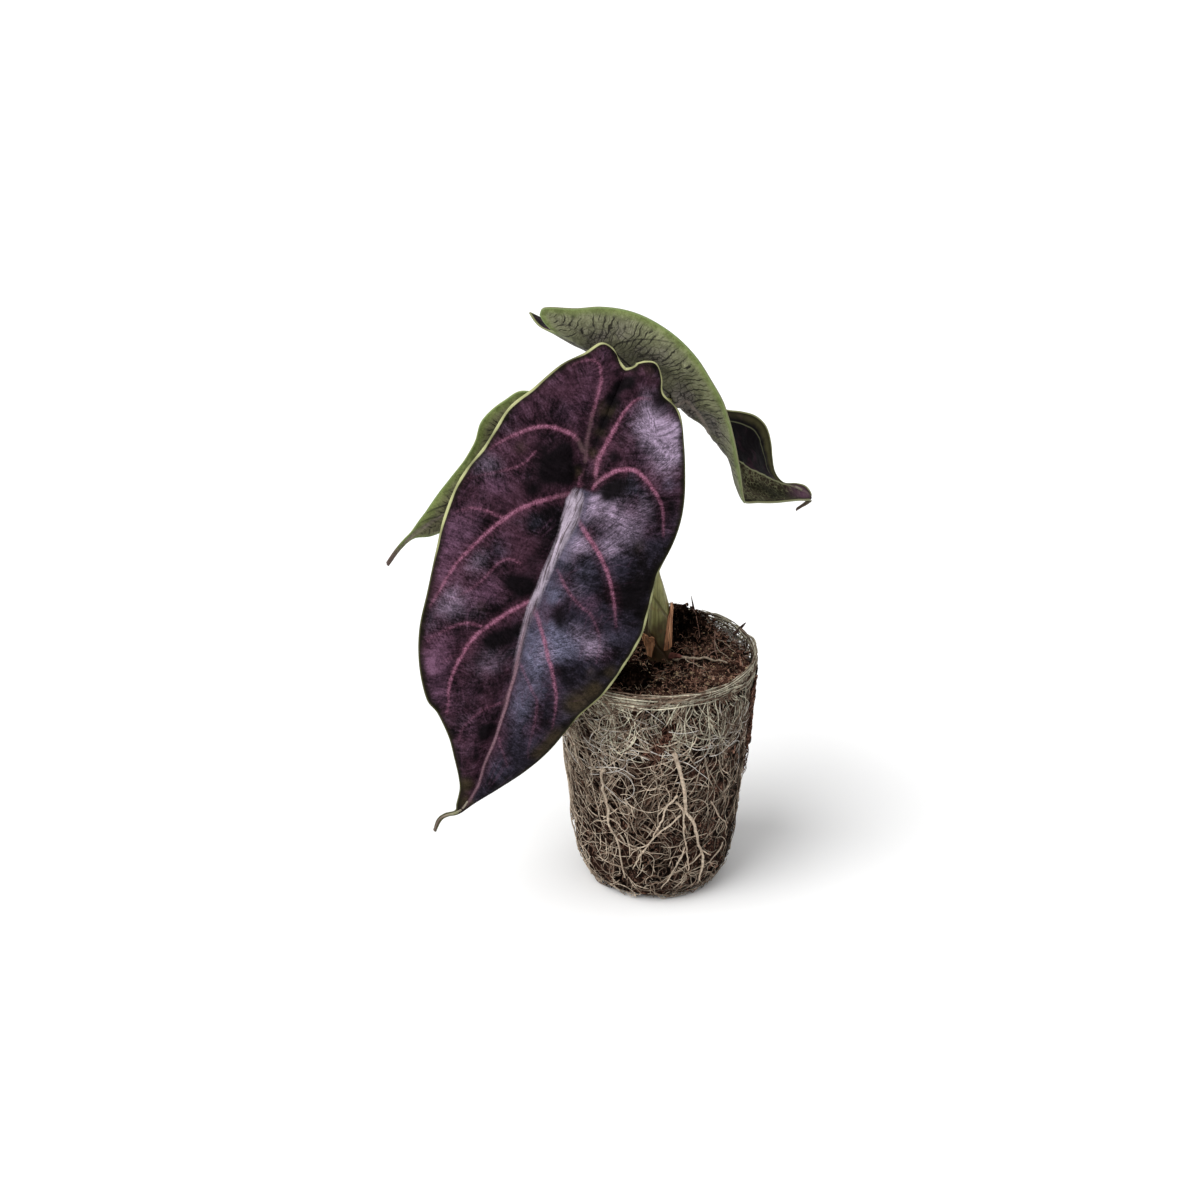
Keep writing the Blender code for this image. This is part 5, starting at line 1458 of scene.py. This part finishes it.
class ALOCASIA_OT_fine_roots(bpy.types.Operator):
    """Lay the net of fine roots round the plug"""
    bl_idname = "alocasia.fine_roots"
    bl_label = "Fine roots"

    def execute(self, context):
        look = context.scene.alocasia_roots
        self.chance = random.Random(5)
        self.radius = look.fine_radius / MM
        # Painted shade: the roots behind the others get a dark skin.
        darker = [0.5 * part for part in look.deep_shade_colour]
        deep = [root_finish("deep_root_skin", look.deep_shade_colour, darker, 300.0, 0.3)]
        pale = root_tones("pale_root", look.pale_colour, look.dull_colour)
        rim = root_tones("rim_root", look.rim_colour, look.dull_colour)
        white = root_tones("white_root", look.white_colour, look.pale_colour)
        self.laid("rim_roots", self.circling, look.rim_roots, rim, "root_web")
        self.laid("deep_roots", self.deep, look.deep_roots, deep)
        self.laid("arching_roots", self.arching, look.arches, rim)
        self.laid("runner_roots", self.runner, look.runners, pale)
        self.laid("crossing_roots", self.crossing, look.crossings, white)
        self.laid("net_roots", self.curly, look.net_roots, pale)
        return {"FINISHED"}

    def laid(self, name, maker, count, skins, *nodes):
        """Lays a number of roots of one kind as one piece."""
        lines = [part for number in range(count) for part in self.cleared(maker())]
        settled(shaded(tubes(name, lines, skins)), "roots", [], *nodes)

    def cleared(self, line):
        """Parts of a root that stay outside the bare patch."""
        parts = [[]]
        limit = BARE_PATCH["half_width"] * self.chance.uniform(0.15, 1.25)
        for step, gap in line:
            if gap < limit + self.chance.uniform(-0.5, 0.5):
                parts.append([])
            else:
                parts[-1].append(step)
        return [part for part in parts if len(part) > 2]

    @staticmethod
    def drift(turn, height):
        """Direction that roots share with their neighbours, mostly downwards."""
        turn = radians(turn)
        spot = Vector((cos(turn) * PLUG_RADIUS, sin(turn) * PLUG_RADIUS, height * 0.8)) / 11.0
        return -pi / 2 + 2.6 * noise.noise(spot)

    def walk(self, turn, height, heading, bend, count, length, lift, wild, pull=0.0, floor=0.5, roof=71.8):
        """Root that wanders over the plug from a place on it, each step with its gap to the bare patch."""
        chance, steps = self.chance, []
        thick, swing = self.radius * chance.uniform(0.6, 1.1), chance.uniform(0, 6.3)
        for k in range(count):
            taper = 1.0 - 0.45 * k / count
            place = on_plug(turn, height, lift + 0.16 * sin(0.8 * k + swing))
            steps.append(((thick * taper, place), patch_gap(turn, height)))
            bend += chance.gauss(0.0, 0.3 * wild)
            pulled = pull * (self.drift(turn, height) - heading)
            heading += bend + chance.uniform(-0.4, 0.4) * wild + pulled
            turn += degrees(length * cos(heading) / between(WEB_SIDE, height))
            height += length * sin(heading)
            if not floor < height < roof:
                heading = -heading
                height = min(max(height, floor), roof)
        return steps

    def circling(self):
        """Root that runs round the rim and waves up and down."""
        chance = self.chance
        start, span = chance.uniform(0, 360), chance.choice((-1, 1)) * chance.uniform(30, 120)
        drop, slope = chance.random() ** 1.3 * 3.6, chance.uniform(-1.8, 1.2)
        lift = chance.uniform(-0.35, 0.6)
        wave, phase, beat = chance.uniform(0.25, 0.95), chance.uniform(0, 6.3), chance.uniform(6.0, 19.0)
        thick = self.radius * chance.uniform(0.8, 1.45)
        count, steps = ceil(abs(span) / 2.6), []
        for k in range(count + 1):
            t = k / count
            height = min(72.2 - drop + slope * (t - 0.5) + wave * sin(beat * t + phase), 72.5)
            place = on_plug(start + span * t, height, lift + 0.25 * sin(9 * t + phase))
            steps.append(((thick * (1.1 - 0.4 * t), place), FAR_OFF))
        return steps

    def deep(self):
        """Dark root that lies behind the others."""
        chance = self.chance
        return self.walk(
            turn=chance.uniform(0, 360), height=chance.uniform(1, 70), heading=chance.uniform(0, 6.3),
            bend=chance.uniform(-0.2, 0.2), count=chance.randint(8, 14), length=1.3,
            lift=chance.uniform(-0.65, -0.3), wild=0.35)

    def arching(self):
        """Root that bends down from the rim."""
        chance = self.chance
        turn, height = chance.uniform(0, 360), 71.8 - 12.0 * chance.random() ** 1.6
        heading = self.drift(turn, height) + chance.gauss(0, 0.35)
        return self.walk(
            turn, height, heading, bend=chance.uniform(-0.12, 0.12), count=chance.randint(9, 17),
            length=0.95, lift=chance.uniform(-0.35, 0.5), wild=0.13, pull=0.06)

    def runner(self):
        """Long root that runs down the plug beside its neighbours."""
        chance = self.chance
        turn, height = chance.uniform(0, 360), chance.uniform(34, 68)
        heading = self.drift(turn, height) + chance.gauss(0, 0.3)
        return self.walk(
            turn, height, heading, bend=0.0, count=chance.randint(12, 22), length=1.15,
            lift=chance.uniform(-0.35, 0.4), wild=0.16, pull=0.12)

    def crossing(self):
        """White root that lies across the others."""
        chance = self.chance
        heading = chance.choice((0.0, pi)) + chance.gauss(-0.25, 0.35)
        return self.walk(
            turn=chance.uniform(0, 360), height=chance.gauss(55, 5), heading=heading,
            bend=chance.uniform(-0.05, 0.05), count=chance.randint(8, 16), length=1.1,
            lift=chance.uniform(0.1, 0.55), wild=0.16, floor=30.0, roof=70.0)

    def curly(self):
        """Short curly root of the lower net."""
        chance = self.chance
        return self.walk(
            turn=chance.uniform(0, 360), height=1.0 + 60.0 * chance.random() ** 1.1,
            heading=chance.uniform(0, 6.3), bend=chance.uniform(-0.22, 0.22), count=chance.randint(7, 14),
            length=1.0, lift=chance.uniform(-0.4, 0.5), wild=0.28, roof=66.0)


class ALOCASIA_OT_thick_roots(bpy.types.Operator):
    """Build the tan roots that run down the front of the plug"""
    bl_idname = "alocasia.thick_roots"
    bl_label = "Thick roots"

    def execute(self, context):
        look = context.scene.alocasia_roots
        self.chance = random.Random(29)
        lines = []
        for thick, bends in THICK_ROOTS:
            count = 6 * len(bends)
            spots = along(bends, np.linspace(0.0, 1.0, count + 1))
            lines.append(self.trunk(thick, spots, count))
            for number in range(2):
                lines.append(self.branch(thick, spots[self.chance.randint(3, count - 3)]))
        skin = root_finish("tan_root_skin", look.tan_colour, look.pale_colour, 350.0, 0.3)
        settled(shaded(tubes("tan_roots", lines, [skin], 10)), "thick_roots", [])
        return {"FINISHED"}

    @staticmethod
    def trunk(thick, spots, count):
        """Steps of a knotty root through places on the plug."""
        steps = []
        for k, (turn, height) in enumerate(spots):
            knot = 1.0 + 0.35 * noise.noise(Vector((k * 0.7, thick * 9.0, 0.0)))
            wobble = 1.3 * noise.noise(Vector((k * 0.45, thick * 5.0, 4.0)))
            radius = 0.78 * thick * (1.0 - 0.5 * k / count) * knot
            steps.append((radius, on_plug(turn + wobble, height, 0.5 + 0.25 * sin(0.5 * k))))
        return steps

    def branch(self, thick, start):
        """Steps of a thin side root that leaves a thick one and turns down."""
        chance = self.chance
        turn, height = start
        heading = chance.choice((-1, 1)) * chance.uniform(0.5, 1.2) - pi / 2
        steps = []
        for k in range(chance.randint(6, 12)):
            steps.append((0.32 * thick * (1.0 - 0.06 * k), on_plug(turn, max(height, 0.6), 0.5)))
            heading += chance.uniform(-0.35, 0.35)
            turn += degrees(0.9 * cos(heading) / between(WEB_SIDE, height))
            height += 0.9 * sin(heading)
        return steps


class ALOCASIA_OT_surface_roots(bpy.types.Operator):
    """Build the roots that lie on top of the peat, with the reddish node that they start from"""
    bl_idname = "alocasia.surface_roots"
    bl_label = "Surface roots"

    def execute(self, context):
        look = context.scene.alocasia_roots
        lines = []
        for thick, places in SURFACE_ROOTS:
            spots = along(places, np.linspace(0.0, 1.0, 25))
            steps = []
            for k, (x, y) in enumerate(spots):
                knot = 1.0 + 0.3 * noise.noise(Vector((k * 0.6, thick * 9.0, 2.0)))
                sway = 0.35 * noise.noise(Vector((k * 0.4, thick * 5.0, 6.0)))
                radius = 0.85 * thick * (1.0 - 0.5 * k / 24) * knot
                steps.append((radius, (x, y + sway, soil_height(x, y) + 0.8)))
            lines.append(steps)
        skins = [root_finish("tan_root_skin", look.tan_colour, look.pale_colour, 350.0, 0.3),
                 root_finish("pink_root_skin", (0.42, 0.27, 0.22), (0.2, 0.1, 0.075), 350.0, 0.3)]
        settled(tubes("peat_top_roots", lines, skins, 10), "thick_roots", [], "surface_roots")
        red = root_finish("red_root_skin", (0.26, 0.1, 0.085), (0.12, 0.045, 0.035), 500.0, 0.3)
        bud = tubes("root_node", [stepped(ROOT_NODE, 24)], [red], 10)
        for vertex in bud.data.vertices:
            vertex.co += vertex.normal * 0.3 * MM * noise.noise(vertex.co * 900.0)
        settled(bud, "thick_roots", [])
        return {"FINISHED"}


class ALOCASIA_OT_peat_flap(bpy.types.Operator):
    """Build the torn strip of peat that hangs off the right of the plug, with its strands"""
    bl_idname = "alocasia.peat_flap"
    bl_label = "Peat flap"

    def execute(self, context):
        look = context.scene.alocasia_peat
        work = bmesh.new()
        bmesh.ops.create_grid(work, x_segments=44, y_segments=96, size=1.0)
        for vertex in work.verts:
            vertex.co = self.place(vertex.co.x, 0.5 * (1.0 + vertex.co.y))
        flap = new_object("torn_peat_strip", work)
        thickened(flap, look.strip_thickness, 0.0)
        settled(flap, "peat", [peat_finish("crumbly_peat", look)], "peat_flap")

        chance = random.Random(41)
        lines = [self.strand(chance, number) for number in range(look.strands)]
        skins = root_tones("strand", (0.16, 0.09, 0.07), (0.07, 0.032, 0.022))
        settled(tubes("flap_strands", lines, skins), "roots", [])
        return {"FINISHED"}

    @staticmethod
    def place(across, up):
        """Place on the strip, from -1 to 1 across it and from 0 at its foot to 1 at its top."""
        torn = noise.noise(Vector((across * 2.0, up * 5.0, 1.0)))
        ragged = noise.noise(Vector((across * 7.0, up * 22.0, 4.0)))
        height = FLAP_LOW + FLAP_TALL * up + 1.0 * sin(9.0 * across) + 1.2 * torn + 0.6 * ragged
        sway = 0.3 * sin(5.0 * up) + 0.3 * torn + 0.14 * ragged
        turn = FLAP_TURN + FLAP_HALF * (across * (0.55 + 0.45 * up) + sway)
        lift = 1.0 + 0.2 * sin(11.0 * up + 3.0 * across) + 0.35 * ragged
        lift += 0.45 * noise.noise(Vector((across * 4, up * 16, 6.0)))
        return Vector(on_plug(turn, height, lift)) * MM

    @staticmethod
    def strand(chance, number):
        """Steps of a dark root that hangs down with the strip."""
        turn, height = FLAP_TURN + chance.gauss(0, 7), chance.uniform(38, 66)
        heading = chance.uniform(-2.4, -0.7)
        steps = []
        for k in range(chance.randint(5, 11)):
            steps.append((0.1, on_plug(turn, height, 0.9 + 0.5 * sin(0.9 * k + number))))
            heading += chance.uniform(-0.4, 0.4)
            turn += degrees(0.8 * cos(heading) / PLUG_RADIUS)
            height += 0.8 * sin(heading)
        return steps


class ALOCASIA_OT_stage(bpy.types.Operator):
    """Set up the pale floor, the soft light and the camera"""
    bl_idname = "alocasia.stage"
    bl_label = "Stage"

    def execute(self, context):
        look = context.scene.alocasia_stage
        self.floor(look)
        self.sky(context.scene, look)
        self.lamp(context.scene, "key", look.key_strength, KEY_SPREAD, KEY_AIM)
        self.lamp(context.scene, "top", look.top_strength, TOP_SPREAD, TOP_AIM)
        self.camera(context.scene)
        context.scene.view_settings.view_transform = "Standard"
        return {"FINISHED"}

    @staticmethod
    def floor(look):
        """Pale floor under the plug."""
        work = bmesh.new()
        bmesh.ops.create_grid(work, x_segments=1, y_segments=1, size=look.floor_size / 2)
        floor = new_object("floor", work)
        f = Finish("pale_floor")
        tone = f.mix(f.fade(f.noise(3.0, 2.0), 0.3, 0.7), (0.9, 0.9, 0.9), (0.92, 0.92, 0.92))
        floor.data.materials.append(f.finish(tone, 0.95, Specular_IOR_Level=0.0))

    @staticmethod
    def sky(scene, look):
        """Even white light all round, and a plain background for the camera."""
        world = bpy.data.worlds.new("studio")
        scene.world = world
        world.use_nodes = True
        nodes, links = world.node_tree.nodes, world.node_tree.links
        even = nodes["Background"]
        even.inputs["Color"].default_value = (1.0, 1.0, 1.0, 1.0)
        even.inputs["Strength"].default_value = look.sky_strength
        seen = nodes.new("ShaderNodeBackground")
        path = nodes.new("ShaderNodeLightPath")
        pick = nodes.new("ShaderNodeMixShader")
        links.new(path.outputs["Is Camera Ray"], pick.inputs[0])
        links.new(even.outputs[0], pick.inputs[1])
        links.new(seen.outputs[0], pick.inputs[2])
        links.new(pick.outputs[0], nodes["World Output"].inputs["Surface"])

    @staticmethod
    def lamp(scene, name, strength, spread, aim):
        """Wide soft light that shines along a direction."""
        light = bpy.data.lights.new(name, "SUN")
        light.energy = strength
        light.angle = radians(spread)
        lamp = bpy.data.objects.new(name, light)
        lamp.rotation_mode = "QUATERNION"
        lamp.rotation_quaternion = Vector(aim).to_track_quat("-Z", "Y")
        scene.collection.objects.link(lamp)

    @staticmethod
    def camera(scene):
        """Camera that sees the plant as the photo does."""
        data = bpy.data.cameras.new("photo_camera")
        data.sensor_width = 36.0
        data.lens = LENS
        data.clip_start = 0.01
        camera = bpy.data.objects.new("photo_camera", data)
        camera.location = Vector(EYE) * MM
        camera.rotation_euler = (radians(90.0 - PITCH), 0.0, 0.0)
        scene.collection.objects.link(camera)
        scene.camera = camera


class ALOCASIA_PT_panel(bpy.types.Panel):
    """Buttons and settings of the plant"""
    bl_label = "Alocasia plug plant"
    bl_idname = "ALOCASIA_PT_panel"
    bl_space_type = "VIEW_3D"
    bl_region_type = "UI"
    bl_category = "Alocasia"

    def draw(self, context):
        for group in SETTINGS:
            box = self.layout.box()
            box.label(text=group.__doc__)
            held = getattr(context.scene, SETTINGS[group])
            for key in group.__annotations__:
                box.prop(held, key)
        for operator in OPERATORS:
            self.layout.operator(operator.bl_idname)


SETTINGS = {
    AlocasiaLeafSettings: "alocasia_leaf",
    AlocasiaStemSettings: "alocasia_stem",
    AlocasiaPeatSettings: "alocasia_peat",
    AlocasiaRootSettings: "alocasia_roots",
    AlocasiaStageSettings: "alocasia_stage",
}
OPERATORS = (
    ALOCASIA_OT_stage, ALOCASIA_OT_peat, ALOCASIA_OT_crumbs, ALOCASIA_OT_fine_roots, ALOCASIA_OT_thick_roots,
    ALOCASIA_OT_surface_roots, ALOCASIA_OT_peat_flap, ALOCASIA_OT_stalks, ALOCASIA_OT_dry_scales,
    ALOCASIA_OT_front_leaf, ALOCASIA_OT_back_leaf, ALOCASIA_OT_left_leaf,
)


def register():
    """Registers the settings, the operators and the panel."""
    for group, holder in SETTINGS.items():
        bpy.utils.register_class(group)
        setattr(bpy.types.Scene, holder, PointerProperty(type=group))
    for operator in OPERATORS:
        bpy.utils.register_class(operator)
    bpy.utils.register_class(ALOCASIA_PT_panel)


def unregister():
    """Takes back what register has set up."""
    bpy.utils.unregister_class(ALOCASIA_PT_panel)
    for operator in reversed(OPERATORS):
        bpy.utils.unregister_class(operator)
    for group, holder in SETTINGS.items():
        delattr(bpy.types.Scene, holder)
        bpy.utils.unregister_class(group)


def main():
    """Builds the whole scene with the operators."""
    register()
    bpy.ops.alocasia.stage()
    bpy.ops.alocasia.peat()
    bpy.ops.alocasia.crumbs()
    bpy.ops.alocasia.fine_roots()
    bpy.ops.alocasia.thick_roots()
    bpy.ops.alocasia.surface_roots()
    bpy.ops.alocasia.peat_flap()
    bpy.ops.alocasia.stalks()
    bpy.ops.alocasia.dry_scales()
    bpy.ops.alocasia.front_leaf()
    bpy.ops.alocasia.back_leaf()
    bpy.ops.alocasia.left_leaf()


if __name__ == "__main__":
    main()
